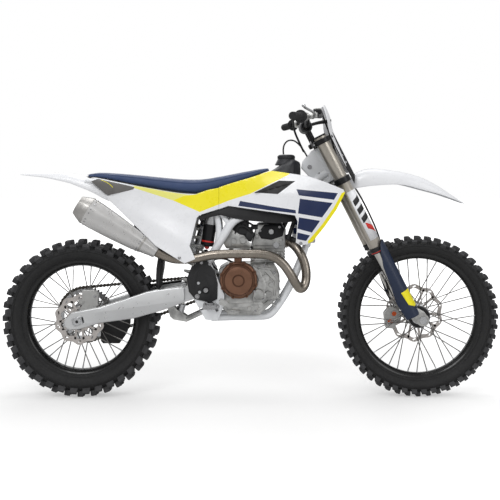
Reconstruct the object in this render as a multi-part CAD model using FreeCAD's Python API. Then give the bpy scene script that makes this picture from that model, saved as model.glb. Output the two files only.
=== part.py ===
"""A full-size motocross bike, one STEP file for each sub-component.

Millimetres. +X is forward, +Y is the rider's left and +Z is up. The origin is the middle of the seat's top where
the rider sits. Side-view places are pairs (x, z). Places on the fork are (along the steering axis, ahead of it).
"""
import FreeCAD
import Part
import math
import os

Vector = FreeCAD.Vector

# Whole machine
steering_head = (612.8, -13.6)
fork_length = 686.0
cut_overrun = 3.0
seat_gap = 0.3
fit_gap = 0.05

# How finely round forms are made
tube_sides = 8
wheel_sides = 36
hub_sides = 12
fork_sides = 12
cover_sides = 24
bend_step_degrees = 30.0
bend_reach_share = 0.45
flatness = 1e-6

# Tyres and rims
rear_tyre_height = 91.0
rear_tyre_width = 116.0
rear_lug_height = 15.0
rear_lug_count = 36
rear_rim_radius = 253.0
front_tyre_height = 74.0
front_tyre_width = 90.0
front_lug_height = 12.0
front_lug_count = 44
front_rim_radius = 277.0
rear_rim_width = 62.0
front_rim_width = 50.0
rim_depth = 26.0
rim_flange_height = 12.0
lug_pitch_share = 0.56
carcass_height_shares = (0.56, 1.0)
carcass_width_shares = (0.95, 0.32)
bead_inset_share = 0.62
centre_lug_width_share = 0.30
shoulder_lug_shares = (0.12, 0.88)

# Hubs, spokes, brake discs and axles
spoke_count = 36
spoke_size = 4.4
spoke_lean_steps = 4
spoke_offset = 2.4
hub_core_radius = 26.0
hub_flange_radius = 50.0
hub_flange_thickness = 12.0
front_hub_flange_place = 34.0
rear_hub_flange_place = 44.0
front_hub_width = 148.0
rear_hub_width = 150.0
axle_radius = 12.0
axle_nut_radius = 19.0
axle_nut_length = 9.0
front_disc_radius = 130.0
rear_disc_radius = 110.0
disc_thickness = 3.0
disc_band_share = 0.72
disc_wave_share = 0.965
disc_waves = 12
disc_arms = 6
disc_arm_share = 0.74
front_disc_place = 66.0
rear_disc_place = 66.0
disc_carrier_radius = 58.0

# Chain drive
chain_pitch = 15.875
chain_width = 15.0
chain_link_height = 12.0
chain_waist_share = 0.62
chain_place = 72.0
rear_tooth_count = 48
front_tooth_count = 13
chain_tooth_gap = 0.6
tooth_height = 9.0
tooth_shares = [(0.0, 1.0), (0.5, 0.0)]
sprocket_thickness = 6.0
sprocket_window_share = 0.62
front_sprocket_x = 125.0
front_sprocket_z = -460.0

# Steering head and fork
rake_degrees = 27.0
axle_lead = 35.0
leg_lead = 22.0
leg_spacing = 212.0
head_length = 189.0
lower_clamp_thickness = 26.0
upper_clamp_thickness = 22.0
clamp_wall = 9.0
clamp_bridge_shares = [(-1.0, -0.15), (-1.0, 0.15), (0.09, 1.0), (2.09, 1.0), (1.45, 0.0), (2.09, -1.0),
                       (0.09, -1.0)]
stem_radius = 15.0
head_tube_radius = 28.0
fork_tube_radius = 29.0
fork_tube_bottom = 368.0
fork_cap_height = 27.0
fork_seal_length = 26.0
fork_seal_radius = 31.0
slider_radius = 24.0
slider_bottom = 48.0
lug_inner_place = 82.0
lug_outer_place = 128.0
lug_radius = 27.0
lug_neck = 40.0
front_caliper_behind = 138.0
front_caliper_below = 68.0
front_caliper_length = 68.0
front_caliper_height = 100.0
front_caliper_shares = [(0.12, 0.04), (0.71, 0.0), (1.0, 0.88), (0.35, 1.0), (0.0, 0.68)]
caliper_bracket_shares = [(0.40, 0.30), (1.10, 0.20), (1.30, 0.72), (0.70, 0.88), (0.40, 0.80)]
caliper_cheek = 13.0
moving_gap = 5.0

# Front wheel's neighbours
guard_radius = 40.0
guard_thickness = 4.0
fender_thickness = 4.0
plate_thickness = 4.0

# Handlebar and controls
bar_radius = 14.0
bar_end_radius = 11.0
bar_mount_height = 87.0
bar_mount_ahead = -6.0
bar_centre_half = 75.0
bar_half_width = 400.0
grip_length = 110.0
grip_radius = 16.5
grip_flange_radius = 27.0
grip_flange_thickness = 5.0
grip_rise = 33.0
grip_drop = 10.0
grip_sweep = 76.0
bar_bend_sweep = 5.0
bar_bend_radius = 60.0
bar_pad_radius = 27.0
bar_pad_half_length = 72.0
bar_mount_half_place = 48.0
bar_mount_width = 24.0
bar_mount_length = 40.0
bar_mount_rise = 17.0
perch_to_grip = 58.0
perch_to_bend = 42.0
perch_width = 26.0
perch_radius = 21.0
lever_length_share = 1.04
lever_thickness = 9.0
lever_depth = 14.0
lever_ahead = 46.0
master_length = 90.0
master_radius = 15.0
lever_rise = 26.0
housing_to_grip = 6.0
housing_width = 24.0
housing_radius = 22.0

# Frame
rear_tyre_room = 156.0
pivot_x = 49.0
pivot_z = -474.0
pivot_radius = 26.0
pivot_plate_inner = 85.0
pivot_plate_thickness = 15.0
spar_radius = 18.0
spar_low = (62.0, -350.0)
spar_knee = (172.0, -172.0)
spar_mid = (300.0, -130.0)
spar_low_half = 82.0
spar_knee_half = 88.0
spar_mid_half = 58.0
spar_head_half = 14.0
spar_head_rise = 56.0
branch_radius = 13.0
upper_cross = (78.0, -106.0)
upper_cross_radius = 15.0
upper_cross_half = 84.0
tank_cross_radius = 12.0
cradle_radius = 14.0
down_tube_radius = 20.0
down_tube_rise = 64.0
down_tube_end = (486.0, -288.0)
cradle_half = 46.0
cradle_front = (442.0, -400.0)
cradle_knee = (396.0, -498.0)
cradle_corner = (326.0, -598.0)
cradle_low_z = -598.0
cradle_rear_x = 72.0
cradle_bend = 70.0
skid_plate_thickness = 4.0

# Engine
crankcase_half_left = 84.0
crankcase_half_right = 84.5
cylinder_half = 58.0
cover_depth = 48.0
clutch_x = 189.0
clutch_z = -430.0
clutch_radius = 80.0
ignition_x = 205.0
ignition_z = -470.0
ignition_radius = 62.0
throttle_radius = 27.0
header_radius = 20.0
header_bend = 44.0

# Silencer
silencer_front = (-162.0, -311.0)
silencer_rear = (-452.0, -133.0)
silencer_place = 126.0
silencer_front_radius = 24.0
silencer_height = 118.0
silencer_width = 92.0
silencer_cap_length = 52.0
silencer_cap_share = 0.66
silencer_corner_share = 0.42

# Bodywork
panel_thickness = 4.0

# Swingarm and rear suspension
arm_inner = 82.0
arm_thickness = 32.0
arm_top_shares = [(1.10, 0.025), (1.03, 0.074), (0.81, 0.064), (0.44, 0.094), (0.20, 0.071), (0.155, 0.064)]
arm_bottom_shares = [(0.18, -0.051), (0.35, -0.073), (0.58, -0.085), (0.84, -0.058), (1.08, -0.043)]
slider_shares = [(0.60, 0.081), (0.44, 0.094), (0.20, 0.071)]
slider_thickness = 8.0
bridge_behind = 166.0
bridge_length = 26.0
bridge_low = -35.0
bridge_high = 38.0
shock_top = (58.0, -140.0)
shock_foot_behind = 142.0
shock_foot_below = 81.0
shock_spring_radius = 38.0
shock_body_radius = 26.0
shock_shaft_radius = 9.0
reservoir_radius = 27.0
reservoir_length = 160.0
rocker_inner = 15.0
rocker_thickness = 9.0
link_radius = 9.0

# Footrests
peg_inner = 100.0
peg_outer = 212.0
peg_width = 52.0
peg_height = 16.0
peg_place = (68.0, -532.0)
peg_bracket_length = 32.0
pedal_boss = (116.0, -520.0)
pedal_boss_radius = 11.0
pedal_inner = 142.0
pedal_thickness = 10.0
pedal_places = [(-4.0, 15.0), (2.0, -12.0), (34.0, -21.0), (110.0, -16.0), (169.0, -8.0), (169.0, 6.0),
                (110.0, -2.0),
                (36.0, -6.0), (12.0, 15.0)]
pedal_tip_ahead = 140.0
pedal_tip_length = 34.0
pedal_tip_width = 30.0
pedal_tip_height = 8.0
pedal_tip_overhang = 20.0
pedal_tip_drop = 4.0
shift_shaft = (139.0, -520.0)
shift_shaft_radius = 8.0
shift_inner = 116.0
shift_thickness = 8.0
shift_places = [(-11.0, 8.0), (-11.0, -10.0), (123.0, -4.0), (151.0, 15.0), (151.0, 28.0), (116.0, 12.0)]
toe_ahead = 145.0
toe_rise = 22.0
toe_length = 34.0
toe_radius = 7.0

# Hoses
vent_hose_radius = 3.5
brake_hose_radius = 4.0
cable_radius = 4.5
hose_upper_rows = [(279.0, 75.0, -90.0), (194.0, 74.0, -20.0), (94.0, 62.0, 50.0), (4.0, 58.0, 74.0),
                   (-86.0, 86.0, 104.0)]
hose_lower_rows = [(400.0, 82.0, 104.0), (320.0, 60.0, 77.0), (180.0, 8.0, 77.0), (78.0, -18.0, 77.0)]
throttle_cable_rows = [(289.0, -66.0, -150.0), (244.0, -66.0, -84.0), (184.0, -64.0, -42.0)]
vent_hose_places = [(-12.0, 0.8), (-16.0, 30.0), (2.0, 62.0), (34.0, 64.0), (62.0, 40.0), (92.0, -6.0),
                    (112.0, -50.0)]

# Places worked out from the sizes above
rake = math.radians(rake_degrees)
fork_up = Vector(-math.sin(rake), 0, math.cos(rake))
fork_ahead = Vector(math.cos(rake), 0, math.sin(rake))
steer_foot = Vector(steering_head[0], 0, steering_head[1]) - fork_up * fork_length
front_centre = steer_foot + fork_ahead * (axle_lead + leg_lead)
front_axle_x = front_centre.x
front_axle_z = front_centre.z
front_tyre_radius = front_rim_radius + front_tyre_height
rear_tyre_radius = rear_rim_radius + rear_tyre_height
ground_z = front_axle_z - front_tyre_radius
rear_axle_x = -rear_tyre_radius - rear_tyre_room
rear_axle_z = ground_z + rear_tyre_radius
rear_centre = Vector(rear_axle_x, 0, rear_axle_z)
pivot = Vector(pivot_x, 0, pivot_z)
arm_length = (pivot - rear_centre).Length
arm_along = (pivot - rear_centre) * (1 / arm_length)
arm_up = Vector(-arm_along.z, 0, arm_along.x)
leg_half = leg_spacing / 2
lower_clamp_place = fork_length
upper_clamp_place = lower_clamp_place + head_length
bar_mount_place = upper_clamp_place + bar_mount_height
fork_tube_top = upper_clamp_place + fork_cap_height
grip_start_half = bar_half_width - grip_length
perch_half_place = grip_start_half - perch_to_grip
bar_bend_half = perch_half_place - perch_to_bend
lever_length = (bar_half_width - perch_half_place) * lever_length_share
rear_pitch_radius = chain_pitch / 2 / math.sin(math.pi / rear_tooth_count)
front_pitch_radius = chain_pitch / 2 / math.sin(math.pi / front_tooth_count)
arm_outer = arm_inner + arm_thickness
pivot_plate_outer = pivot_plate_inner + pivot_plate_thickness
silencer_axis = Vector(silencer_rear[0] - silencer_front[0], 0, silencer_rear[1] - silencer_front[1])


def at(place, y):
    """A point from a side-view place and a distance to the left."""
    return Vector(place[0], y, place[1])


def on_fork(along, ahead, y):
    """A point from its place on the fork and a distance to the left."""
    return steer_foot + fork_up * along + fork_ahead * ahead + Vector(0, y, 0)


def on_arm(behind, above):
    """A side-view place from its distances behind the swingarm's pivot and above the line to the rear axle."""
    place = pivot - arm_along * behind + arm_up * above
    return (place.x, place.z)


def framed(corner, length, height, shares):
    """Side-view places from shares of a box that starts at its rear low corner."""
    return [(corner[0] + length * sx, corner[1] + height * sz) for sx, sz in shares]


def wire(points):
    """A closed wire through the points."""
    return Part.makePolygon(points + points[:1])


def prism(points, step):
    """A flat outline pushed along a vector."""
    return Part.Face(wire(points)).extrude(step)


def side_plate(places, y_start, y_end):
    """A plate with a side-view outline between two distances to the left."""
    return prism([at(p, y_start) for p in places], Vector(0, y_end - y_start, 0))


def fork_plate(places, y_start, y_end):
    """A plate whose outline is given on the fork."""
    return prism([on_fork(s, n, y_start) for s, n in places], Vector(0, y_end - y_start, 0))


def ring(start, along, radius, sides):
    """The corners of a regular outline square to a direction."""
    level = Vector(0, 1, 0)
    if abs(along.y) > max(abs(along.x), abs(along.z)):
        level = Vector(0, 0, 1)
    across = level - along * (level.dot(along) / along.dot(along))
    across.normalize()
    upward = along.cross(across)
    upward.normalize()
    corners = []
    for i in range(sides):
        angle = 2 * math.pi * (i + 0.5) / sides
        corners.append(start + across * (radius * math.cos(angle)) + upward * (radius * math.sin(angle)))
    return corners


def rod(start, end, radius, sides=tube_sides):
    """A bar between two points, round but for its flats."""
    return prism(ring(start, end - start, radius, sides), end - start)


def pin(start, end, radius):
    """A truly round shaft or bore between two points."""
    return Part.makeCylinder(radius, (end - start).Length, start, end - start)


def cross_rod(place, y_start, y_end, radius, sides=tube_sides):
    """A bar that lies across the bike."""
    return rod(at(place, y_start), at(place, y_end), radius, sides)


def cross_pin(place, y_start, y_end, radius):
    """A truly round shaft or bore across the bike."""
    return pin(at(place, y_start), at(place, y_end), radius)


def flat_reach(radius, sides=tube_sides):
    """How far a bar's flats lie from its middle."""
    return radius * math.cos(math.pi / sides)


def clear_bore(start, end, radius, sides=tube_sides):
    """Room for a bar however its flats are turned."""
    return rod(start, end, (radius + fit_gap) / math.cos(math.pi / sides), sides)


def box_bar(start, end, width, height):
    """A bar of rectangular section between two points, its width level."""
    run = end - start
    across = Vector(0, 0, 1).cross(run)
    across.normalize()
    upward = run.cross(across)
    upward.normalize()
    a = across * (width / 2)
    b = upward * (height / 2)
    return prism([start - a - b, start + a - b, start + a + b, start - a + b], run)


def joined(shapes):
    """Several solids that meet, as one."""
    first = shapes[0]
    whole = first.multiFuse(shapes[1:]) if len(shapes) > 1 else first
    return whole.removeSplitter()


def mirrored(shape):
    """The same piece on the other side of the bike."""
    return shape.mirror(Vector(0, 0, 0), Vector(0, 1, 0))


def both_sides(shape):
    """A piece and its mirror image, as solids that don't touch."""
    return Part.makeCompound([shape, mirrored(shape)])


def facet(corners):
    """The corners of one flat face, or of two where four corners don't lie in a plane."""
    a, b, c = corners[1] - corners[0], corners[2] - corners[0], corners[-1] - corners[0]
    if len(corners) == 4 and abs(a.cross(b).dot(c)) > flatness * a.Length * b.Length * c.Length:
        return [corners[:3], [corners[0], corners[2], corners[3]]]
    return [corners]


def closed_solid(outlines):
    """A solid inside flat outlines that meet edge to edge."""
    sewn = Part.Compound([Part.Face(wire(corners)) for corners in outlines])
    sewn.sewShape()
    solid = Part.makeSolid(sewn.Shells[0])
    if solid.Volume < 0:
        raise ValueError("these outlines face inward")
    return solid


def between(first, second):
    """The faces' corners that join two outlines with as many corners."""
    outlines = []
    count = len(first)
    for i in range(count):
        j = (i + 1) % count
        corners = [first[i], first[j], second[j], second[i]]
        corners = [c for n, c in enumerate(corners) if (c - corners[n - 1]).Length > flatness]
        if len(corners) > 2:
            outlines += facet(corners)
    return outlines


def loft(sections):
    """A solid with straight runs from one outline to the next."""
    outlines = [sections[0], sections[-1]]
    for first, second in zip(sections, sections[1:]):
        outlines += between(first, second)
    return closed_solid(outlines)


def stacked(places, centre, sides):
    """A full round of flats about a cross axis, from (radius, distance to the left) places."""
    return loft([ring(centre + Vector(0, y, 0), Vector(0, 1, 0), r, sides) for r, y in places])


def rounded_points(points, bend):
    """The route with each corner rounded by short runs that touch its arc."""
    route = [points[0]]
    for before, corner, after in zip(points, points[1:], points[2:]):
        back = before - corner
        onward = after - corner
        shorter = min(back.Length, onward.Length)
        back.normalize()
        onward.normalize()
        turn = math.pi - back.getAngle(onward)
        reach = min(bend * math.tan(turn / 2), bend_reach_share * shorter)
        radius = reach / math.tan(turn / 2)
        middle = back + onward
        middle.normalize()
        centre = corner + middle * (radius / math.cos(turn / 2))
        count = max(1, round(math.degrees(turn) / bend_step_degrees))
        start = corner + back * reach - centre
        for i in range(count):
            angle = turn * (i + 0.5) / count
            stretch = 1 / math.cos(turn / count / 2)
            route.append(centre + (start * math.cos(angle) - back * (radius * math.sin(angle))) * stretch)
    return route + [points[-1]]


def tube(points, radius, bend, sides=tube_sides):
    """A tube along a route with rounded corners, mitred where its short runs meet."""
    route = rounded_points(points, bend)
    corners = ring(route[0], route[1] - route[0], radius, sides)
    rings = [corners]
    for i in range(1, len(route)):
        along = route[i] - route[i - 1]
        along.normalize()
        onward = Vector(along)
        if i + 1 < len(route):
            onward = route[i + 1] - route[i]
            onward.normalize()
        face = along + onward
        corners = [c + along * ((route[i] - c).dot(face) / along.dot(face)) for c in corners]
        rings.append(corners)
    return loft(rings)


def save(shape, name):
    """Writes one sub-component."""
    shape.exportStep("parts/" + name + ".step")


# Wheels


def spun(shape, centre, degrees):
    """A piece turned about a wheel's axle."""
    turned = shape.copy()
    turned.rotate(centre, Vector(0, 1, 0), degrees)
    return turned


def wedge(places, centre, degrees):
    """A straight piece of a ring with this (radius, y) outline, as wide as one row of lugs."""
    half = math.radians(degrees / 2)
    ends = []
    for angle in (-half, half):
        along = Vector(math.sin(angle), 0, math.cos(angle))
        ends.append([centre + along * r + Vector(0, y, 0) for r, y in places])
    return loft(ends)


def tyre(centre, radius, width, lug_height, rows, rim_radius, rim_width):
    """A knobbly tyre: straight rows of carcass, with a middle lug and two shoulder lugs on every other one."""
    pitch = 360 / rows
    flat = math.cos(math.radians(pitch / 2))
    crown = radius - lug_height
    bead = (rim_radius - rim_flange_height + fit_gap) / flat
    heights = [bead] + [bead + (crown - bead) * share for share in carcass_height_shares]
    halves = [rim_width / 2 - rim_flange_height * bead_inset_share]
    halves += [width / 2 * share for share in carcass_width_shares]
    right = [(h, -w) for h, w in zip(heights, halves)]
    left = [(h, w) for h, w in zip(heights, halves)]
    carcass = wedge(right + left[::-1], centre, pitch)
    lug_length = 2 * math.pi * crown / rows * lug_pitch_share
    base = crown * flat
    middle = width / 2 * centre_lug_width_share
    middle_lug = Part.makeBox(lug_length, 2 * middle, lug_height + crown - base,
                              centre + Vector(-lug_length / 2, -middle, base))
    shoulders = [shoulder_lug(centre, side, heights, halves, lug_length, lug_height, pitch) for side in (-1, 1)]
    pair = [carcass.fuse(middle_lug), spun(carcass.multiFuse(shoulders), centre, pitch)]
    sectors = [spun(row, centre, 2 * pitch * i) for i in range(rows // 2) for row in pair]
    whole = sectors[0].multiFuse(sectors[1:])
    return whole.removeSplitter()


def shoulder_lug(centre, side, heights, halves, lug_length, lug_height, pitch):
    """A lug that stands square on the slope between crown and sidewall."""
    flat = math.cos(math.radians(pitch / 2))
    low = Vector(0, side * halves[-2], heights[-2] * flat)
    high = Vector(0, side * halves[-1], heights[-1] * flat)
    slope = high - low
    out = Vector(0, side * slope.z, -side * slope.y)
    out.normalize()
    foot, head = [low + slope * share for share in shoulder_lug_shares]
    corners = [foot, head, head + out * lug_height, foot + out * lug_height]
    start = centre - Vector(lug_length / 2, 0, 0)
    return prism([start + c for c in corners], Vector(lug_length, 0, 0))


def rim(centre, radius, width):
    """A spoked wheel's rim: flanges outside and one flat for each spoke inside."""
    half = width / 2
    seat = radius - rim_flange_height
    lip = rim_flange_height / 2
    places = [(radius, -half), (seat, lip - half), (seat, half - lip), (radius, half)]
    outer = stacked(places, centre, wheel_sides)
    well = radius - rim_depth
    return outer.cut(rod(centre - Vector(0, half, 0), centre + Vector(0, half, 0), well, wheel_sides))


def hub(centre, width, flange_place, rim_radius, rim_width):
    """A hub with its two spoke flanges, its bore and the crossed spokes out to the rim."""
    half = Vector(0, width / 2, 0)
    pieces = [rod(centre - half, centre + half, hub_core_radius, hub_sides)]
    for side in (-1, 1):
        start = centre + Vector(0, side * flange_place - hub_flange_thickness / 2, 0)
        flange = rod(start, start + Vector(0, hub_flange_thickness, 0), hub_flange_radius, hub_sides)
        pieces.append(flange if side > 0 else spun(flange, centre, 180 / hub_sides))
    pieces += spokes(centre, flange_place, (rim_radius - rim_depth) * math.cos(math.pi / wheel_sides), rim_width)
    return joined(pieces).cut(clear_bore(centre - half, centre + half, axle_radius, hub_sides))


def spokes(centre, flange_place, reach, rim_width):
    """Spokes that lean forward and back in turn, from each flange to the middle of the rim's flats."""
    found = []
    step = 2 * math.pi / spoke_count
    inner = hub_flange_radius - spoke_size * 2
    for i in range(spoke_count):
        side = -1 if i % 2 else 1
        turn = 1 if i % 4 < 2 else -1
        angle = step * i
        start_angle = angle + step * spoke_lean_steps * turn
        out = Vector(math.sin(angle), 0, math.cos(angle))
        start = centre + Vector(inner * math.sin(start_angle), side * flange_place + turn * spoke_offset,
                                inner * math.cos(start_angle))
        end = centre + out * reach + Vector(0, side * rim_width / 8 + turn * spoke_offset, 0)
        found.append(spoke(start, end, out))
    return found


def spoke(start, end, out):
    """One three-sided spoke that ends on the rim's flat."""
    run = end - start
    first = ring(start, run, spoke_size / 2, 3)
    last = [c + run * ((end - c).dot(out) / run.dot(out)) for c in first]
    return loft([first, last])


def disc(centre, radius, place):
    """A wavy brake disc with its carrier."""
    start = centre + Vector(0, place - disc_thickness / 2, 0)
    step = Vector(0, disc_thickness, 0)
    outline = []
    for i in range(disc_waves * 2):
        angle = math.pi * i / disc_waves
        reach = radius * (disc_wave_share if i % 2 else 1)
        outline.append(start + Vector(math.sin(angle), 0, math.cos(angle)) * reach)
    band = prism(outline, step).cut(rod(start, start + step, radius * disc_band_share, cover_sides))
    arms = []
    for i in range(disc_arms):
        low = start + Vector(-hub_core_radius / 2, 0, hub_core_radius + fit_gap)
        arm = Part.makeBox(hub_core_radius, disc_thickness, radius * disc_arm_share - hub_core_radius, low)
        arms.append(spun(arm, centre, 360 / disc_arms * i))
    plate = rod(start, start + step, disc_carrier_radius, hub_sides)
    bore = rod(start, start + step, hub_core_radius + fit_gap, hub_sides)
    return joined([band, plate] + arms).cut(bore)


# Chain drive


def sprocket(centre, teeth, pitch_radius, bore):
    """A toothed wheel whose tips run just inside the chain."""
    tip = pitch_radius - chain_link_height / 2 - chain_tooth_gap
    root = tip - tooth_height
    points = []
    start = centre + Vector(0, chain_place - sprocket_thickness / 2, 0)
    for i in range(teeth):
        for share, height in tooth_shares:
            radius = root + (tip - root) * height
            angle = 2 * math.pi * (i + share) / teeth
            points.append(start + Vector(radius * math.sin(angle), 0, radius * math.cos(angle)))
    step = Vector(0, sprocket_thickness, 0)
    wheel = prism(points, step)
    return wheel.cut(rod(start, start + step, bore, hub_sides))


def rear_sprocket():
    """The rear sprocket, with windows between its arms."""
    centre = rear_centre
    wheel = sprocket(centre, rear_tooth_count, rear_pitch_radius, hub_core_radius + fit_gap)
    outer = (rear_pitch_radius - tooth_height * 3)
    inner = outer * sprocket_window_share
    for i in range(disc_arms):
        points = []
        for radius, turns in ((inner, (-0.3, 0, 0.3)), (outer, (0.33, 0, -0.33))):
            for turn in turns:
                angle = 2 * math.pi * (turn + i) / disc_arms
                points.append(centre + Vector(radius * math.sin(angle), chain_place - sprocket_thickness,
                                              radius * math.cos(angle)))
        wheel = wheel.cut(prism(points, Vector(0, sprocket_thickness * 2, 0)))
    return wheel


def chain_route():
    """Points one pitch apart round both sprockets, as (place, direction) pairs."""
    front = Vector(front_sprocket_x, 0, front_sprocket_z)
    rear = rear_centre
    apart = front - rear
    span = apart.Length
    lean = math.atan2(apart.z, apart.x)
    flare = math.asin((rear_pitch_radius - front_pitch_radius) / span)
    run = span * math.cos(flare)
    rear_wrap = rear_pitch_radius * (math.pi + 2 * flare)
    front_wrap = front_pitch_radius * (math.pi - 2 * flare)
    total = 2 * run + rear_wrap + front_wrap
    links = 2 * round(total / chain_pitch / 2)
    step = total / links
    top = lean + math.pi / 2 - flare
    low = lean - math.pi / 2 + flare
    route = []
    for i in range(links):
        d = i * step
        if d < run:
            base = rear + Vector(math.cos(top), 0, math.sin(top)) * rear_pitch_radius
            heading = top - math.pi / 2
            place = base + Vector(math.cos(heading), 0, math.sin(heading)) * d
        elif d < run + front_wrap:
            angle = top - (d - run) / front_pitch_radius
            place = front + Vector(math.cos(angle), 0, math.sin(angle)) * front_pitch_radius
            heading = angle - math.pi / 2
        elif d < 2 * run + front_wrap:
            base = front + Vector(math.cos(low), 0, math.sin(low)) * front_pitch_radius
            heading = low - math.pi / 2
            place = base + Vector(math.cos(heading), 0, math.sin(heading)) * (d - run - front_wrap)
        else:
            angle = low - (d - 2 * run - front_wrap) / rear_pitch_radius
            place = rear + Vector(math.cos(angle), 0, math.sin(angle)) * rear_pitch_radius
            heading = angle - math.pi / 2
        route.append((place, heading))
    return route


def drive_chain():
    """A closed loop of links, wide and narrow in turn."""
    route = chain_route()
    count = len(route)
    rings = []
    for place, heading in route:
        out = Vector(-math.sin(heading), 0, math.cos(heading)) * (chain_link_height / 2)
        rings.append((place - out, place + out))
    links = []
    for i in range(count):
        half = chain_width / 2 * (chain_waist_share if i % 2 else 1)
        ends = []
        for low, high in (rings[i], rings[(i + 1) % count]):
            ends.append([low + Vector(0, chain_place - half, 0), low + Vector(0, chain_place + half, 0),
                         high + Vector(0, chain_place + half, 0), high + Vector(0, chain_place - half, 0)])
        links.append(loft(ends))
    return links[0].multiFuse(links[1:])


def drive_sprocket():
    """The small sprocket on the gearbox shaft, with its shaft end."""
    centre = Vector(front_sprocket_x, 0, front_sprocket_z)
    wheel = sprocket(centre, front_tooth_count, front_pitch_radius, stem_radius)
    end = chain_place + sprocket_thickness
    shaft = rod(centre + Vector(0, gearbox_left(), 0), centre + Vector(0, end, 0), stem_radius, hub_sides)
    return joined([wheel, shaft])


def gearbox_left():
    """How far to the left the gearbox reaches behind the small sprocket."""
    return chain_place - chain_width


# Frame


def frame_backbone():
    """Steering head with gussets, side tubes down to the swingarm pivot, branches and cross tubes."""
    low = lower_clamp_place + lower_clamp_thickness / 2 + seat_gap
    high = upper_clamp_place - upper_clamp_thickness / 2 - seat_gap
    head = rod(on_fork(low, 0, 0), on_fork(high, 0, 0), head_tube_radius, hub_sides)
    pieces = [head]
    for side in (-1, 1):
        route = [at(spar_low, side * spar_low_half), at(spar_knee, side * spar_knee_half),
                 at(spar_mid, side * spar_mid_half), spar_head(side)]
        pieces.append(tube(route, spar_radius, spar_radius * 3))
        pieces.append(pivot_plate(side))
        foot = at((spar_low[0] + (spar_knee[0] - spar_low[0]) / 2, (spar_low[1] + spar_knee[1]) / 2),
                  side * (spar_low_half + spar_knee_half) / 2)
        pieces.append(rod(foot, at(upper_cross, side * (upper_cross_half - branch_radius)), branch_radius))
        pieces.append(head_gusset(side))
    pieces.append(cross_rod(upper_cross, -upper_cross_half, upper_cross_half, upper_cross_radius))
    pieces.append(cross_rod(spar_mid, -spar_mid_half, spar_mid_half, tank_cross_radius))
    pieces.append(top_bar())
    return joined(pieces).cut(stem_bore())


def spar_head(side):
    """Where a side tube ends behind the steering head."""
    return on_fork(lower_clamp_place + spar_head_rise, -head_tube_radius / 2, side * spar_head_half)


def top_bar():
    """The flat bar under the tank between the two cross tubes."""
    return box_bar(at(upper_cross, 0), at(spar_mid, 0), spar_radius * 2, spar_radius)


def stem_bore():
    """Room for the steering stem."""
    return clear_bore(on_fork(lower_clamp_place, 0, 0), on_fork(upper_clamp_place, 0, 0), stem_radius, hub_sides)


def head_gusset(side):
    """A pressed plate from the steering head back to the tank and a side tube."""
    places = [(lower_clamp_place + s, n) for s, n in head_gusset_places]
    inner = head_tube_radius * 0.62
    return fork_plate(places, side * inner, side * (inner + gusset_thickness))


head_gusset_places = [(14.0, 0.0), (172.0, 0.0), (172.0, -25.0), (148.0, -84.0), (124.0, -103.0), (14.0, -73.0)]
gusset_thickness = 5.4
pivot_plate_shares = [(0.18, 1.0), (0.56, 1.0), (1.0, 0.42), (0.98, 0.24), (0.80, 0.0), (0.42, 0.02), (0.0, 0.42),
                      (0.0, 0.60)]
pivot_plate_corner = (-12.0, -606.0)
pivot_plate_length = 140.0
pivot_plate_height = 262.0


def pivot_plate(side):
    """The plate that carries the swingarm pivot, the footrest and the engine's rear mount."""
    places = framed(pivot_plate_corner, pivot_plate_length, pivot_plate_height, pivot_plate_shares)
    return side_plate(places, side * pivot_plate_inner, side * pivot_plate_outer)


def down_tube():
    """The tube from the steering head down to the cradle's rails."""
    start = on_fork(lower_clamp_place + down_tube_rise, -down_tube_radius, 0)
    return rod(start, at(down_tube_end, 0), down_tube_radius)


def frame_cradle():
    """The down tube, the two rails under the engine and the plate that ties them."""
    pieces = [down_tube()]
    for side in (-1, 1):
        half = side * cradle_half
        end = at((cradle_rear_x, cradle_low_z), side * (pivot_plate_inner - flat_reach(cradle_radius)))
        route = [at(down_tube_end, side * cradle_radius / 2), at(cradle_front, half), at(cradle_knee, half),
                 at(cradle_corner, half), at((cradle_corner[0] - cradle_bend * 2, cradle_low_z), half), end]
        pieces.append(tube(route, cradle_radius, cradle_bend))
    low = at((cradle_rear_x + cradle_bend * 1.5, cradle_low_z - skid_plate_thickness), -cradle_half)
    pieces.append(Part.makeBox(cradle_bend, cradle_half * 2, skid_plate_thickness, low))
    return joined(pieces).cut(stem_bore()).cut(frame_backbone())


rail_half = 75.0
rail_radius = 12.0
rail_end = (-473.6, -5.2)
strut_foot = (26.0, -372.0)
strut_radius = 9.6


def rail_places():
    """Side-view places of a subframe rail, under the seat from the upper cross tube to the tail."""
    drop = flat_reach(rail_radius) + seat_gap
    return [upper_cross] + [(x, z - drop) for x, z in zip(seat_xs[4:0:-1], seat_bottoms[4:0:-1])] + [rail_end]


def subframe():
    """Two rails under the seat and two struts up to them."""
    places = rail_places()
    pieces = []
    for side in (-1, 1):
        pieces.append(tube([at(place, side * rail_half) for place in places], rail_radius, rail_radius * 3))
        foot = at(strut_foot, side * (pivot_plate_inner - flat_reach(strut_radius)))
        pieces.append(rod(foot, at(places[3], side * rail_half), strut_radius))
    for place in (places[1], places[4]):
        pieces.append(cross_rod(place, -rail_half, rail_half, strut_radius))
    return joined(pieces).cut(cross_rod(upper_cross, -upper_cross_half, upper_cross_half, upper_cross_radius))


guard_shares = [(0.0, 0.50), (0.22, 0.72), (0.48, 0.92), (0.66, 0.92), (0.76, 0.70), (0.94, 0.42), (0.95, 0.14),
                (0.78, 0.0), (0.26, 0.10), (0.05, 0.24)]
frame_guard_thickness = 6.0
guard_corner = (-36.0, -522.0)
guard_length = 144.0
guard_height = 210.0


def frame_guards():
    """Plastic covers over the pivot plates."""
    places = framed(guard_corner, guard_length, guard_height, guard_shares)
    return both_sides(side_plate(places, -pivot_plate_outer - frame_guard_thickness, -pivot_plate_outer))


# Engine

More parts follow.
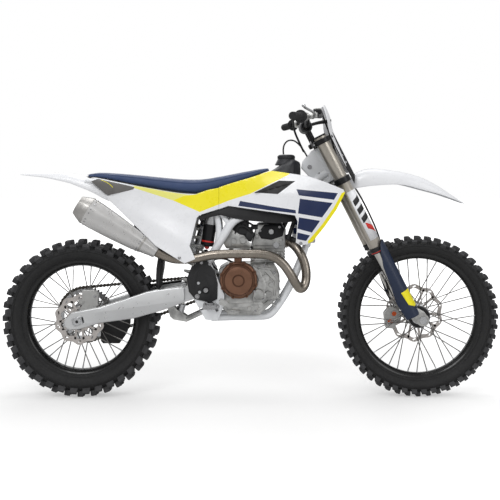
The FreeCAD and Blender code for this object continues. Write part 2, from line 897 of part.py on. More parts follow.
crankcase_shares = [(0.0, 0.90), (0.0, 0.20), (0.16, 0.0), (0.66, 0.0), (1.0, 0.36), (1.0, 0.80), (0.90, 1.0),
                    (0.14, 1.0)]
crankcase_corner = (104.0, cradle_low_z + flat_reach(cradle_radius) + seat_gap)
crankcase_length = 262.0
crankcase_height = 222.0
cylinder_shares = [(0.0, 0.0), (0.92, 0.0), (1.0, 0.45), (1.0, 0.86), (0.90, 1.0), (0.22, 1.0), (0.06, 0.52)]
cylinder_corner_x = 232.0
cylinder_length = 164.0
cylinder_height = 172.0


def crankcase():
    """Crankcase and gearbox, narrower behind the small sprocket."""
    places = framed(crankcase_corner, crankcase_length, crankcase_height, crankcase_shares)
    right = side_plate(places, -crankcase_half_right, gearbox_left())
    clear_x = front_sprocket_x + front_pitch_radius + chain_link_height
    left = side_plate([(max(x, clear_x), z) for x, z in places], gearbox_left(), crankcase_half_left)
    return joined([right, left])


def cylinder_head():
    """Cylinder, head and its cover, as one outline with a narrower top."""
    corner = (cylinder_corner_x, crankcase_corner[1] + crankcase_height)
    places = framed(corner, cylinder_length, cylinder_height, cylinder_shares)
    return side_plate(places, -cylinder_half, cylinder_half)


def engine_covers():
    """The round clutch cover on the right and the ignition cover on the left."""
    face = -crankcase_half_right
    clutch = stacked([(clutch_radius, face), (clutch_radius, face - cover_depth * 0.7),
                      (clutch_radius * 0.80, face - cover_depth)], Vector(clutch_x, 0, clutch_z), cover_sides)
    face = crankcase_half_left
    ignition = stacked([(ignition_radius, face), (ignition_radius, face + cover_depth * 0.4),
                        (ignition_radius * 0.8, face + cover_depth * 0.6)], Vector(ignition_x, 0, ignition_z),
                       cover_sides)
    return Part.makeCompound([clutch, ignition])


def throttle_body():
    """The intake tract from the back of the head to the airbox."""
    rear_face = cylinder_corner_x + cylinder_length * 0.10
    start = Vector(rear_face, 0, crankcase_corner[1] + crankcase_height + cylinder_height * 0.66)
    end = start + Vector(-throttle_radius * 3.4, 0, throttle_radius * 0.9)
    body = rod(start + (end - start) * 0.35, end, throttle_radius)
    stub = rod(start, start + (end - start) * 0.35, throttle_radius * 0.8)
    whole = joined([body, stub])
    return whole.cut(cylinder_head())


header_places = [(386.0, -268.0, -12.0), (446.0, -306.0, -56.0), (480.0, -382.0, -78.0), (478.0, -440.0, -86.0),
                 (462.0, -466.0, -100.0), (440.0, -462.0, -116.0), (424.0, -430.0, -127.0), (392.0, -376.0, -131.0),
                 (352.0, -334.0, -131.0), (290.0, -316.0, -130.0), (140.0, -316.0, -131.0), (56.0, -322.0, -130.0),
                 (0.0, -338.0, -127.0), (-74.0, -342.0, -117.0)]


def exhaust_header():
    """The pipe from the head's front, down, round and back along the right side."""
    front_face = cylinder_corner_x + cylinder_length
    route = [Vector(x, y, z) for x, z, y in header_places]
    route[0] = Vector(front_face, route[0].y, route[0].z)
    inside = Vector(silencer_axis)
    inside.normalize()
    route.append(at(silencer_front, -silencer_place) + inside * header_radius)
    return tube(route, header_radius, header_bend).cut(silencer()).cut(cylinder_head())


def silencer_section(distance, height, width):
    """One eight-cornered section of the silencer."""
    along = Vector(silencer_axis)
    along.normalize()
    upward = Vector(-along.z, 0, along.x)
    if upward.z < 0:
        upward = upward * -1
    centre = at(silencer_front, -silencer_place) + along * distance
    cut = silencer_corner_share
    corners = [(1, cut), (cut, 1), (-cut, 1), (-1, cut), (-1, -cut), (-cut, -1), (cut, -1), (1, -cut)]
    return [centre + Vector(0, a * width / 2, 0) + upward * (b * height / 2) for a, b in corners]


def silencer():
    """A can that widens to the rear and ends in a tapered cap."""
    length = silencer_axis.Length
    front = silencer_front_radius * 2
    cap = silencer_cap_share
    return loft([silencer_section(0, front, front),
                 silencer_section(length * 0.18, silencer_height * 0.50, silencer_width * 0.66),
                 silencer_section(length * 0.88, silencer_height, silencer_width),
                 silencer_section(length, silencer_height, silencer_width),
                 silencer_section(length + silencer_cap_length, silencer_height * cap, silencer_width * cap)])


radiator_top = (498.0, -66.0)
radiator_bottom = (500.0, -270.0)
radiator_tie = (502.0, -226.0)
radiator_tie_radius = 8.0
radiator_inner = 44.0
radiator_width = 106.0
radiator_thickness = 32.0


def radiators():
    """Two radiators, one each side of the down tube, tied to it."""
    middle = radiator_inner + radiator_width / 2
    core = box_bar(at(radiator_bottom, middle), at(radiator_top, middle), radiator_width, radiator_thickness)
    tie = cross_rod(radiator_tie, 0, radiator_inner, radiator_tie_radius)
    return both_sides(joined([core, tie.cut(down_tube())]))


# Bodywork

surface_xs = (-480.0, -260.0, 0.0, 110.0, 240.0, 431.0, 520.0, 650.0)
surface_zs = (-400.0, -150.0, -20.0, 70.0)
surface_halves = [(96.0, 92.0, 84.0, 76.0), (156.0, 106.0, 98.0, 90.0), (168.0, 120.0, 100.0, 92.0),
                  (132.0, 122.0, 104.0, 94.0), (130.0, 134.0, 114.0, 100.0), (150.0, 172.0, 150.0, 126.0),
                  (156.0, 184.0, 172.0, 156.0), (160.0, 186.0, 188.0, 182.0)]
shroud_shares = [(0.0, 0.512), (0.06, 0.757), (0.148, 0.784), (0.252, 0.880), (0.412, 0.990), (0.427, 1.0),
                 (0.618, 0.952), (0.716, 0.927), (0.989, 0.749), (1.0, 0.705), (0.748, 0.054), (0.652, 0.0), (0.615, 0.038),
                 (0.628, 0.324), (0.607, 0.403), (0.071, 0.533)]
shroud_corner = (104.0, -277.0)
shroud_length = 532.0
shroud_height = 315.0
panel_shares = [(0.0, 0.867), (0.451, 0.222), (0.672, 0.022), (0.700, 0.0), (0.790, 0.055), (0.740, 0.225),
                (0.749, 0.268), (0.799, 0.585), (0.823, 0.619), (0.985, 0.755), (0.985, 0.975), (0.893, 0.948),
                (0.782, 0.888), (0.726, 0.882), (0.543, 0.924), (0.268, 1.0), (0.035, 0.935)]
panel_corner = (-388.0, -353.0)
panel_length = 500.0
panel_height = 326.0
panel_tab_radius = 7.0
rail_outer = rail_half + flat_reach(rail_radius)
shroud_tabs = [(500.0, -200.0, radiator_inner + radiator_width), (498.0, -100.0, radiator_inner + radiator_width),
               (240.0, -70.0, 88.7)]
panel_tabs = [(-264.0, -34.0, rail_outer), (-76.0, -66.0, rail_outer)]


def bodywork_body(side, offset):
    """Everything inboard of the bodywork's surface, or of a surface this far inside it."""
    sections = []
    for x, halves in zip(surface_xs, surface_halves):
        outer = [Vector(x, side * (y - offset), z) for y, z in zip(halves, surface_zs)]
        sections.append(outer + [Vector(x, 0, surface_zs[-1]), Vector(x, 0, surface_zs[0])])
    return loft(sections)


def surface_half(x, z):
    """How far out the bodywork's surface lies at a side-view place."""
    i = max(n for n in range(len(surface_xs) - 1) if surface_xs[n] <= x)
    j = max(n for n in range(len(surface_zs) - 1) if surface_zs[n] <= z)
    share_x = (x - surface_xs[i]) / (surface_xs[i + 1] - surface_xs[i])
    share_z = (z - surface_zs[j]) / (surface_zs[j + 1] - surface_zs[j])
    rear, front = [row[j] + (row[j + 1] - row[j]) * share_z for row in surface_halves[i:i + 2]]
    return rear + (front - rear) * share_x


def bodywork(corner, length, height, shares, tabs):
    """Panels with this side-view outline and tabs to what carries them, left and right."""
    places = framed(corner, length, height, shares)
    outline = side_plate(places, -surface_halves[-1][2] * 1.5, 0)
    pieces = [outline.common(bodywork_body(-1, 0)).cut(bodywork_body(-1, panel_thickness))]
    for x, z, foot in tabs:
        pieces.append(cross_rod((x, z), -foot, panel_thickness / 2 - surface_half(x, z), panel_tab_radius))
    return both_sides(joined(pieces))


tank_xs = (112.0, 240.0, 330.0, 420.0, 461.0)
tank_tops = (-66.0, -8.0, 34.0, 84.0, 66.0)
tank_bottoms = (-88.0, -100.7, -84.0, -39.9, 0.0)
tank_halves = (60.0, 88.0, 96.0, 92.0, 48.0)
tank_cap_x = 398.0
tank_cap_radius = 34.0
tank_cap_height = 26.0


def tank_section(x, top, bottom, half):
    """One six-cornered section of the tank."""
    shoulder = top - (top - bottom) * 0.35
    return [Vector(x, -half, bottom), Vector(x, half, bottom), Vector(x, half, shoulder), Vector(x, half * 0.5, top),
            Vector(x, -half * 0.5, top), Vector(x, -half, shoulder)]


def fuel_tank():
    """The tank under the seat's nose, with its filler cap."""
    body = loft([tank_section(*row) for row in zip(tank_xs, tank_tops, tank_bottoms, tank_halves)])
    low = Vector(tank_cap_x, 0, tank_tops[3] - tank_cap_height)
    cap = rod(low, low + Vector(0, 0, tank_cap_height * 2), tank_cap_radius, fork_sides)
    whole = joined([body, cap])
    return whole


seat_xs = (-471.0, -415.0, -264.0, -76.0, 18.0, 89.0, 238.0, 321.0)
seat_tops = (24.0, 31.0, 20.0, 2.0, 0.0, 10.0, 38.0, 50.0)
seat_bottoms = (10.0, 6.0, -24.0, -55.0, -62.0, -50.0, 2.0, 40.0)
seat_halves = (40.0, 62.0, 84.0, 88.0, 84.0, 74.0, 58.0, 40.0)


def seat():
    """The long seat pad, narrow at its nose, with rounded upper edges."""
    sections = []
    for x, top, bottom, half in zip(seat_xs, seat_tops, seat_bottoms, seat_halves):
        shoulder = top - (top - bottom) * 0.3
        sections.append([Vector(x, -half, bottom), Vector(x, half, bottom), Vector(x, half, shoulder),
                         Vector(x, half * 0.72, top), Vector(x, -half * 0.72, top), Vector(x, -half, shoulder)])
    return loft(sections)


rear_fender_xs = (-759.0, -650.0, -543.0, -474.0)
rear_fender_tops = (28.0, 33.0, 30.0, 22.0)
rear_fender_bottoms = (20.0, 8.0, -15.0, -41.0)
rear_fender_halves = (40.0, 62.0, 78.0, 92.0)


def fender_section(point, top, bottom, half, thickness):
    """One arched section: sides down to the edge, a broad flat crown."""
    drop = top - bottom
    outer = [(-half, bottom), (-half * 0.86, top - drop * 0.3), (-half * 0.5, top), (half * 0.5, top),
             (half * 0.86, top - drop * 0.3), (half, bottom)]
    side = min(thickness, half / 3)
    low = top - drop * 0.3 - thickness
    inner = [(half - side, bottom), (half * 0.86 - side, low), (half * 0.5, top - thickness),
             (-half * 0.5, top - thickness), (-half * 0.86 + side, low), (-half + side, bottom)]
    return [point(y, z) for y, z in outer + inner]


def rear_fender():
    """The tail that carries on from under the seat."""
    sections = []
    for x, top, bottom, half in zip(rear_fender_xs, rear_fender_tops, rear_fender_bottoms, rear_fender_halves):
        low = min(bottom, top - fender_thickness * 1.2)
        sections.append(fender_section(lambda y, z: Vector(x, y, z), top, low, half, fender_thickness))
    return loft(sections)


front_fender_xs = (700.0, 747.0, 809.0, 898.0, 988.0, 1060.0, 1125.0, 1166.0)
front_fender_tops = (29.0, 50.0, 50.0, 38.0, 14.0, -24.0, -68.0, -94.0)
front_fender_bottoms = (-38.0, -30.0, -24.0, -22.0, -46.0, -64.0, -86.0, -101.0)
front_fender_halves = (60.0, 66.0, 74.0, 76.0, 72.0, 64.0, 52.0, 34.0)
fender_root_places = (8.0, 44.0)
fender_root_drop = 32.0
fender_root_halves = (40.0, 52.0)


def front_fender():
    """The mudguard that lies under the lower clamp and reaches forward."""
    rows = []
    low = lower_clamp_place - lower_clamp_thickness / 2
    for ahead, half in zip(fender_root_places, fender_root_halves):
        root = on_fork(low, ahead, 0)
        rows.append((root.x, root.z, root.z - fender_root_drop, half))
    rows += zip(front_fender_xs, front_fender_tops, front_fender_bottoms, front_fender_halves)
    sections = []
    for x, top, bottom, half in rows:
        sections.append(fender_section(lambda y, z: Vector(x, y, z), top, bottom, half, fender_thickness))
    return loft(sections)


airbox_shares = [(0.0, 1.0), (0.989, 0.9), (1.0, 0.12), (0.62, 0.0), (0.40, 0.06), (0.0, 0.42)]
airbox_corner = (-264.0, -345.0)
airbox_length = 190.0
airbox_height = 320.9
flap_top = (-150.0, -340.0)
flap_bottom = (-164.0, -482.0)
flap_half = 58.0
flap_thickness = 5.0


def airbox():
    """The airbox between the rails, with the flap that hangs in front of the rear tyre."""
    places = framed(airbox_corner, airbox_length, airbox_height, airbox_shares)
    half = rail_half - flat_reach(rail_radius)
    body = side_plate(places, -half, half)
    flap = side_plate([flap_top, flap_bottom, (flap_bottom[0] + flap_thickness, flap_bottom[1]),
                       (flap_top[0] + flap_thickness, flap_top[1] + flap_thickness * 2),
                       (flap_top[0], flap_top[1] + flap_thickness * 2)], -flap_half, flap_half)
    return joined([body, flap])


# Rear suspension

def arm_plate(side):
    """One arm's long plate, from the axle block to just behind the pivot plates."""
    places = [on_arm(arm_length * a, arm_length * b) for a, b in arm_top_shares + arm_bottom_shares]
    return side_plate(places, side * arm_inner, side * arm_outer)


def swingarm():
    """Two arms from the pivot to the axle blocks, tied by the pivot tube and a bridge."""
    tube_half = pivot_plate_inner - seat_gap
    back = bridge_behind + bridge_length
    neck = [on_arm(0, -pivot_radius * 0.8), on_arm(0, pivot_radius * 0.9), on_arm(back, bridge_high),
            on_arm(back, bridge_low), on_arm(bridge_behind, bridge_low)]
    whole = [cross_rod((pivot_x, pivot_z), -tube_half, tube_half, pivot_radius)]
    for side in (-1, 1):
        whole.append(arm_plate(side))
        whole.append(side_plate(neck, side * (tube_half - arm_thickness), side * tube_half))
    bridge = [on_arm(back, bridge_low), on_arm(bridge_behind, bridge_low), on_arm(bridge_behind, bridge_high),
              on_arm(back, bridge_high)]
    whole.append(side_plate(bridge, -arm_inner, arm_inner))
    reach = Vector(0, arm_outer, 0)
    return joined(whole).cut(clear_bore(rear_centre - reach, rear_centre + reach, axle_radius, hub_sides))


def chain_slider():
    """The strip on the left arm that the chain's upper run rubs on."""
    low = [(arm_length * a, arm_length * b) for a, b in slider_shares]
    high = [(a, b + slider_thickness) for a, b in low[::-1]]
    return side_plate([on_arm(a, b) for a, b in low + high], arm_inner, arm_outer).cut(arm_plate(1))


def rear_axle():
    """The axle through both arms, with its head and nut."""
    place = (rear_axle_x, rear_axle_z)
    pieces = [cross_pin(place, -arm_outer, arm_outer, axle_radius)]
    for side in (-1, 1):
        pieces.append(cross_rod(place, side * arm_outer, side * (arm_outer + axle_nut_length), axle_nut_radius, 6))
    return joined(pieces)


rocker_rows = [(174.0, -35.0), (188.0, -49.0), (186.0, -85.0), (174.0, -102.0), (120.0, -125.0), (105.0, -117.0),
               (114.0, -102.0), (148.0, -65.0), (166.0, -35.0)]
link_start_row = (117.0, -114.0)
link_end = (74.0, -560.0)
rear_caliper_ahead = 14.0
rear_caliper_above = 66.0
rear_caliper_length = 68.0
rear_caliper_height = 60.0
rear_caliper_shares = [(0.0, 0.0), (1.0, 0.0), (1.0, 0.77), (0.75, 1.0), (0.0, 1.0)]
guide_rows = [(62.9, -37.8), (189.3, -68.1), (185.1, -85.6), (155.9, -130.0), (119.8, -160.5), (47.9, -143.2),
              (41.0, -129.2)]
guide_bracket_rise = 38.0
guide_clearance = 3.0
guide_wall = 5.0


def shock_linkage():
    """Two rocker plates and the pull rods to the frame."""
    pieces = []
    outer = rocker_inner + rocker_thickness
    link_start = on_arm(*link_start_row)
    for side in (-1, 1):
        pieces.append(side_plate([on_arm(*row) for row in rocker_rows], side * rocker_inner, side * outer))
        middle = side * (outer + link_radius)
        pieces.append(rod(at(link_start, middle), at(link_end, middle), link_radius))
    pieces.append(cross_rod(link_start, -outer - link_radius, outer + link_radius, link_radius * 0.9))
    pieces.append(cross_rod(link_end, -pivot_plate_inner, pivot_plate_inner, link_radius * 1.2))
    return joined(pieces)


def shock_absorber():
    """Spring, damper body, shaft and the reservoir beside them."""
    top = at(shock_top, 0)
    foot = on_arm(shock_foot_behind, -shock_foot_below)
    bottom = at(foot, 0)
    run = bottom - top
    eye = cross_rod(foot, -rocker_inner, rocker_inner, shock_shaft_radius * 1.8)
    body = rod(top, top + run * 0.86, shock_body_radius)
    spring = rod(top + run * 0.24, top + run * 0.80, shock_spring_radius)
    shaft = rod(top + run * 0.8, bottom, shock_shaft_radius)
    head = rod(at(upper_cross, 0), top + run * 0.02, shock_body_radius * 0.6)
    head = head.cut(cross_rod(upper_cross, -upper_cross_half, upper_cross_half, upper_cross_radius)).cut(top_bar())
    reach = (shock_body_radius + reservoir_radius) * 0.92
    high = top + run * 0.02 - Vector(0, reach, 0)
    reservoir = rod(high, high - Vector(shock_body_radius / 2, 0, reservoir_length), reservoir_radius)
    return joined([body, spring, shaft, eye, head, reservoir])


def rear_caliper():
    """The rear caliper on its carrier beside the disc."""
    corner = (rear_axle_x + rear_caliper_ahead, rear_axle_z + rear_caliper_above)
    places = framed(corner, rear_caliper_length, rear_caliper_height, rear_caliper_shares)
    slot = rear_disc_place + disc_thickness / 2 + moving_gap
    inner = rear_disc_place - disc_thickness / 2 - moving_gap
    body = side_plate(places, -arm_inner, caliper_cheek - inner)
    slot_cut = cross_rod((rear_axle_x, rear_axle_z), -slot, -inner, rear_disc_radius + moving_gap, wheel_sides)
    carrier = side_plate([(rear_axle_x - axle_nut_radius, rear_axle_z - axle_nut_radius),
                          (rear_axle_x + axle_nut_radius, rear_axle_z - axle_nut_radius),
                          (corner[0] + rear_caliper_length, corner[1]), corner],
                         -arm_inner, -arm_inner + panel_thickness)
    bore = clear_bore(rear_centre - Vector(0, arm_inner, 0), rear_centre, axle_radius, hub_sides)
    return joined([body.cut(slot_cut), carrier]).cut(bore)


def chain_guide():
    """The guide that holds the lower run under the left arm."""
    inner = chain_width / 2 + guide_clearance
    outer = inner + guide_wall
    rows = [(arm_length - ahead, above) for ahead, above in guide_rows]
    pieces = [side_plate([on_arm(*row) for row in rows], chain_place + side * inner, chain_place + side * outer)
              for side in (-1, 1)]
    floor = rows[3:] + [(behind, above + guide_wall) for behind, above in rows[:2:-1]]
    pieces.append(side_plate([on_arm(*row) for row in floor], chain_place - inner, chain_place + inner))
    roof = rows[:2] + [(behind, above + guide_bracket_rise) for behind, above in rows[1::-1]]
    bracket = side_plate([on_arm(*row) for row in roof], chain_place + inner, chain_place + outer)
    return joined(pieces + [bracket.cut(arm_plate(1))])


# Footrests and foot levers


def footpegs():
    """Two open footrests on their brackets."""
    low = Vector(peg_place[0] - peg_width / 2, -peg_outer, peg_place[1] - peg_height / 2)
    peg = Part.makeBox(peg_width, peg_outer - peg_inner - peg_bracket_length, peg_height, low)
    window = Part.makeBox(peg_width * 0.6, peg_outer - peg_inner - peg_bracket_length - peg_width * 0.4, peg_height * 2,
                          low + Vector(peg_width * 0.2, peg_width * 0.2, -peg_height / 2))
    bracket = Part.makeBox(peg_width * 0.5, peg_bracket_length, peg_height * 1.4,
                           Vector(peg_place[0] - peg_width * 0.25, -peg_inner - peg_bracket_length,
                                  peg_place[1] - peg_height * 0.9))
    return both_sides(joined([peg.cut(window), bracket]))


def foot_levers():
    """The brake pedal on the right and the shift lever on the left."""
    outer = -pedal_inner - pedal_thickness
    pedal = side_plate([(pedal_boss[0] + x, pedal_boss[1] + z) for x, z in pedal_places], outer, -pedal_inner)
    boss = cross_rod(pedal_boss, outer, -pivot_plate_outer, pedal_boss_radius)
    tip = Part.makeBox(pedal_tip_length, pedal_tip_width, pedal_tip_height,
                       Vector(pedal_boss[0] + pedal_tip_ahead, outer - pedal_tip_overhang, pedal_boss[1] - pedal_tip_drop))
    places = [(shift_shaft[0] + x, shift_shaft[1] + z) for x, z in shift_places]
    end = shift_inner + shift_thickness
    shift = side_plate(places, shift_inner, end)
    shaft = cross_rod(shift_shaft, gearbox_left(), end, shift_shaft_radius)
    toe = cross_rod((shift_shaft[0] + toe_ahead, shift_shaft[1] + toe_rise), shift_inner, shift_inner + toe_length,
                    toe_radius)
    return Part.makeCompound([joined([pedal, boss, tip]), joined([shift, shaft, toe])])


# Steering


def clamp_plate(place, thickness, tube_radius):
    """One triple clamp: two rings about the fork tubes and a waisted bridge."""
    low = place - thickness / 2
    step = fork_up * thickness
    pieces = []
    for side in (-1, 1):
        foot = on_fork(low, leg_lead, side * leg_half)
        pieces.append(rod(foot, foot + step, tube_radius + clamp_wall, fork_sides))
    bridge = [on_fork(low, leg_lead * ahead, leg_half * aside) for ahead, aside in clamp_bridge_shares]
    pieces.append(prism(bridge, step))
    whole = joined(pieces)
    for side in (-1, 1):
        foot = on_fork(low, leg_lead, side * leg_half)
        whole = whole.cut(rod(foot, foot + step, tube_radius + fit_gap, fork_sides))
    return whole


def triple_clamps():
    """Both clamps, the stem between them and the two bar mounts."""
    lower = clamp_plate(lower_clamp_place, lower_clamp_thickness, fork_tube_radius)
    upper = clamp_plate(upper_clamp_place, upper_clamp_thickness, fork_tube_radius)
    stem = pin(on_fork(lower_clamp_place, 0, 0), on_fork(upper_clamp_place, 0, 0), stem_radius)
    whole = joined([lower, upper, stem, bar_mount(-1, 0), bar_mount(1, 0)])
    centre = on_fork(bar_mount_place, bar_mount_ahead, 0)
    return whole.cut(cross_rod((centre.x, centre.z), -bar_centre_half, bar_centre_half, bar_radius + fit_gap))


def fork_tubes():
    """The two outer tubes with their caps and dust seals."""
    pieces = []
    for side in (-1, 1):
        y = side * leg_half
        body = rod(on_fork(fork_tube_bottom, leg_lead, y), on_fork(fork_tube_top, leg_lead, y), fork_tube_radius,
                   fork_sides)
        seal = rod(on_fork(fork_tube_bottom - fork_seal_length, leg_lead, y), on_fork(fork_tube_bottom, leg_lead, y),
                   fork_seal_radius, fork_sides)
        pieces.append(joined([body, seal]))
    return Part.makeCompound(pieces)


def fork_lug(side):
    """The lug at a slider's foot that holds the axle."""
    front = leg_lead + axle_lead
    top = slider_bottom + lug_neck
    places = [(top, leg_lead - slider_radius), (top, leg_lead + slider_radius),
              (lug_radius, front + lug_radius), (-lug_radius, front + lug_radius),
              (-lug_radius * 1.1, front - lug_radius), (0, leg_lead - slider_radius)]
    return fork_plate(places, side * lug_inner_place, side * lug_outer_place)


def fork_sliders():
    """The two sliders, each with the lug that holds the axle."""
    pieces = []
    top = fork_tube_bottom - fork_seal_length
    for side in (-1, 1):
        y = side * leg_half
        shaft = rod(on_fork(slider_bottom, leg_lead, y), on_fork(top, leg_lead, y), slider_radius, fork_sides)
        pieces.append(joined([shaft, fork_lug(side)]).cut(axle_bore()))
    return Part.makeCompound(pieces)


def axle_bore():
    """Room for the front axle."""
    reach = Vector(0, lug_outer_place, 0)
    return clear_bore(front_centre - reach, front_centre + reach, axle_radius, hub_sides)


def front_axle():
    """The front axle with its nut."""
    end = lug_outer_place
    shaft = cross_pin((front_axle_x, front_axle_z), -end, end, axle_radius)
    nut = cross_rod((front_axle_x, front_axle_z), end, end + axle_nut_length, axle_nut_radius, 6)
    head = cross_rod((front_axle_x, front_axle_z), -end, -end - axle_nut_length * 0.5, axle_nut_radius * 0.9, 6)
    return joined([shaft, nut, head])


fork_guard_places = [(30, -2), (110, -6), (258, 16), (322, 22), (378, 40), (376, 64), (144, 62), (20, 62), (18, 6)]


def fork_guards():
    """A curved guard over the front and outside of each slider."""
    pieces = []
    for side in (-1, 1):
        y = side * leg_half
        start = on_fork(0, leg_lead, y)
        end = start + fork_up * (fork_tube_bottom * 1.2)
        inside = rod(start, end, guard_radius - guard_thickness, fork_sides)
        shell = rod(start, end, guard_radius, fork_sides).cut(inside)
        inner = side * (leg_half - guard_radius * 0.4)
        outline = fork_plate(fork_guard_places, inner, side * (leg_half + guard_radius * 2))
        lugs = fork_plate([(-lug_radius * 2, 0), (slider_bottom + lug_neck, 0), (slider_bottom + lug_neck, leg_lead * 6),
                           (-lug_radius * 2, leg_lead * 6)], 0, side * lug_outer_place)
        pieces.append(shell.common(outline).cut(lugs))
    return Part.makeCompound(pieces)


def bar_point(y):
    """A point on the handlebar's outer stretch, from the bend out to the grip's end."""
    centre = on_fork(bar_mount_place, bar_mount_ahead, 0)
    share = (abs(y) - bar_bend_half) / (bar_half_width - bar_bend_half)
    back = bar_bend_sweep + (grip_sweep - bar_bend_sweep) * share
    return Vector(centre.x - back, y, centre.z + grip_rise - grip_drop * share)


def handlebar():
    """One bent bar from grip to grip, thicker where it is clamped."""
    centre = on_fork(bar_mount_place, bar_mount_ahead, 0)
    half = []
    for side in (-1, 1):
        half.append([Vector(centre.x, side * bar_centre_half, centre.z), bar_point(side * bar_bend_half),
                     bar_point(side * bar_half_width)])
    route = half[0][::-1] + half[1]
    middle = cross_rod((centre.x, centre.z), -bar_centre_half, bar_centre_half, bar_radius)
    return joined([tube(route, bar_end_radius, bar_bend_radius), middle])


def bar_pad():
    """The pad about the bar's middle and its mounts."""
    centre = on_fork(bar_mount_place, bar_mount_ahead, 0)
    place = (centre.x, centre.z)
    pad = cross_rod(place, -bar_pad_half_length, bar_pad_half_length, bar_pad_radius)
    pad = pad.cut(cross_rod(place, -bar_pad_half_length, bar_pad_half_length, bar_radius + fit_gap))
    for side in (-1, 1):
        pad = pad.cut(bar_mount(side, fit_gap))
    return pad


def bar_mount(side, gap):
    """One bar mount on the upper clamp, or the room for it."""
    middle = side * bar_mount_half_place
    foot = on_fork(upper_clamp_place, bar_mount_ahead, middle)
    head = on_fork(bar_mount_place + bar_mount_rise + gap, bar_mount_ahead, middle)
    return box_bar(foot, head, bar_mount_width + 2 * gap, bar_mount_length + 2 * gap)


def grips():
    """Rubber grips with their flanges, on the bar's ends."""
    pieces = []
    for side in (-1, 1):
        start = bar_point(side * grip_start_half)
        end = bar_point(side * bar_half_width)
        along = end - start
        along.normalize()
        body = pin(start, end + along * grip_flange_thickness, grip_radius)
        flange = rod(start, start + along * grip_flange_thickness, grip_flange_radius)
        inner = clear_bore(start - along * cut_overrun, end, bar_end_radius)
        pieces.append(joined([body, flange]).cut(inner))
    return Part.makeCompound(pieces)


def hand_controls():
    """Perches, levers and master cylinders, brake on the right and clutch on the left."""
    pieces = []
    for side in (-1, 1):
        inner = bar_point(side * (perch_half_place - perch_width / 2))
        outer = bar_point(side * (perch_half_place + perch_width / 2))
        along = outer - inner
        along.normalize()
        ring = rod(inner, outer, perch_radius).cut(clear_bore(inner, outer, bar_end_radius))
        ahead = Vector(lever_ahead, 0, lever_rise)
        arm = box_bar((inner + outer) * 0.5 + Vector(perch_radius * 0.9, 0, 0), (inner + outer) * 0.5 + ahead, perch_width,
                      perch_width * 0.8)
        pivot = (inner + outer) * 0.5 + ahead
        lever_end = pivot + along * lever_length - Vector(lever_depth, 0, 0)
        lever = box_bar(pivot, lever_end, lever_depth, lever_thickness)
        cylinder = rod(pivot - along * perch_width * 0.4, pivot - along * master_length, master_radius)
        pieces.append(joined([ring, arm, lever, cylinder]))
    inner, outer = throttle_housing_ends()
    housing = rod(inner, outer, housing_radius)
    pieces.append(housing.cut(clear_bore(inner, outer, bar_end_radius)))
    return Part.makeCompound(pieces)


def throttle_housing_ends():
    """The inner and outer end of the housing between the right perch and its grip."""
    outer = grip_start_half - housing_to_grip
    return bar_point(housing_width - outer), bar_point(-outer)


number_plate_rows = [(8.0, 87.0, 70.0), (74.0, 88.0, 96.0), (206.0, 92.0, 118.0), (254.0, 108.0, 112.0),
                     (326.0, 114.0, 62.0)]
number_plate_tab_radius = 7.0
number_plate_wrap_share = 0.22


def number_plate():
    """The blank front plate, curved round the fork, with tabs to the upper clamp."""
    sections = []
    for along, ahead, half in number_plate_rows:
        wrap = half * number_plate_wrap_share
        outer = [(ahead - wrap, -half), (ahead, -half * 0.5), (ahead, half * 0.5), (ahead - wrap, half)]
        inner = [(n - plate_thickness, y) for n, y in outer[::-1]]
        sections.append([on_fork(lower_clamp_place + along, n, y) for n, y in outer + inner])
    pieces = [loft(sections)]
    start = leg_lead + flat_reach(fork_tube_radius + clamp_wall, fork_sides)
    for side in (-1, 1):
        y = side * leg_half
        pieces.append(rod(on_fork(upper_clamp_place, start, y),
                          on_fork(upper_clamp_place, start + plate_thickness * 3, y), number_plate_tab_radius))
    return joined(pieces)


def front_caliper():
    """The front caliper behind the left leg, with its bracket to the lug."""
    corner = (front_axle_x - front_caliper_behind, front_axle_z - front_caliper_below)
    slot = front_disc_place + disc_thickness / 2 + moving_gap
    inner = front_disc_place - disc_thickness / 2 - moving_gap
    places = framed(corner, front_caliper_length, front_caliper_height, front_caliper_shares)
    body = side_plate(places, inner - caliper_cheek, lug_inner_place)
    slot_cut = cross_rod((front_axle_x, front_axle_z), inner, slot, front_disc_radius + moving_gap, wheel_sides)
    bracket_places = framed(corner, front_caliper_length, front_caliper_height, caliper_bracket_shares)
    bracket = side_plate(bracket_places, slot, lug_inner_place + caliper_cheek)
    return joined([body.cut(slot_cut), bracket]).cut(fork_lug(1))


def front_brake_hose():
    """The hose from the right lever's cylinder behind the plate and down the left leg to the caliper."""
    inner = bar_point(-(perch_half_place - perch_width / 2))
    along = bar_point(-(perch_half_place + perch_width / 2)) - inner
    middle = inner + along * 0.5
    along.normalize()
    start = middle + Vector(lever_ahead, 0, lever_rise) - along * (master_length + seat_gap)
    route = [start, start - along * brake_hose_radius * 3]
    route += [on_fork(lower_clamp_place + along, ahead, y) for along, ahead, y in hose_upper_rows]
    route += [on_fork(*row) for row in hose_lower_rows]
    return tube(route, brake_hose_radius, brake_hose_radius * 9, 6)


def throttle_cable():
    """The cable from the throttle housing in behind the upper clamp."""
    inner, outer = throttle_housing_ends()
    behind = Vector(0, 0, 1).cross(inner - outer)
    behind.normalize()
    start = (inner + outer) * 0.5 + behind * (flat_reach(housing_radius) + seat_gap)
    route = [start, start + behind * cable_radius * 4]
    route += [on_fork(lower_clamp_place + along, ahead, y) for along, ahead, y in throttle_cable_rows]
    return tube(route, cable_radius, cable_radius * 8, 6)


def tank_vent_hose():
    """The hose from the filler cap, over and down behind the steering head."""
    top = tank_tops[3] + tank_cap_height
    route = [Vector(tank_cap_x + x, 0, top + z) for x, z in vent_hose_places]
    return tube(route, vent_hose_radius, vent_hose_radius * 10)


# All nodes


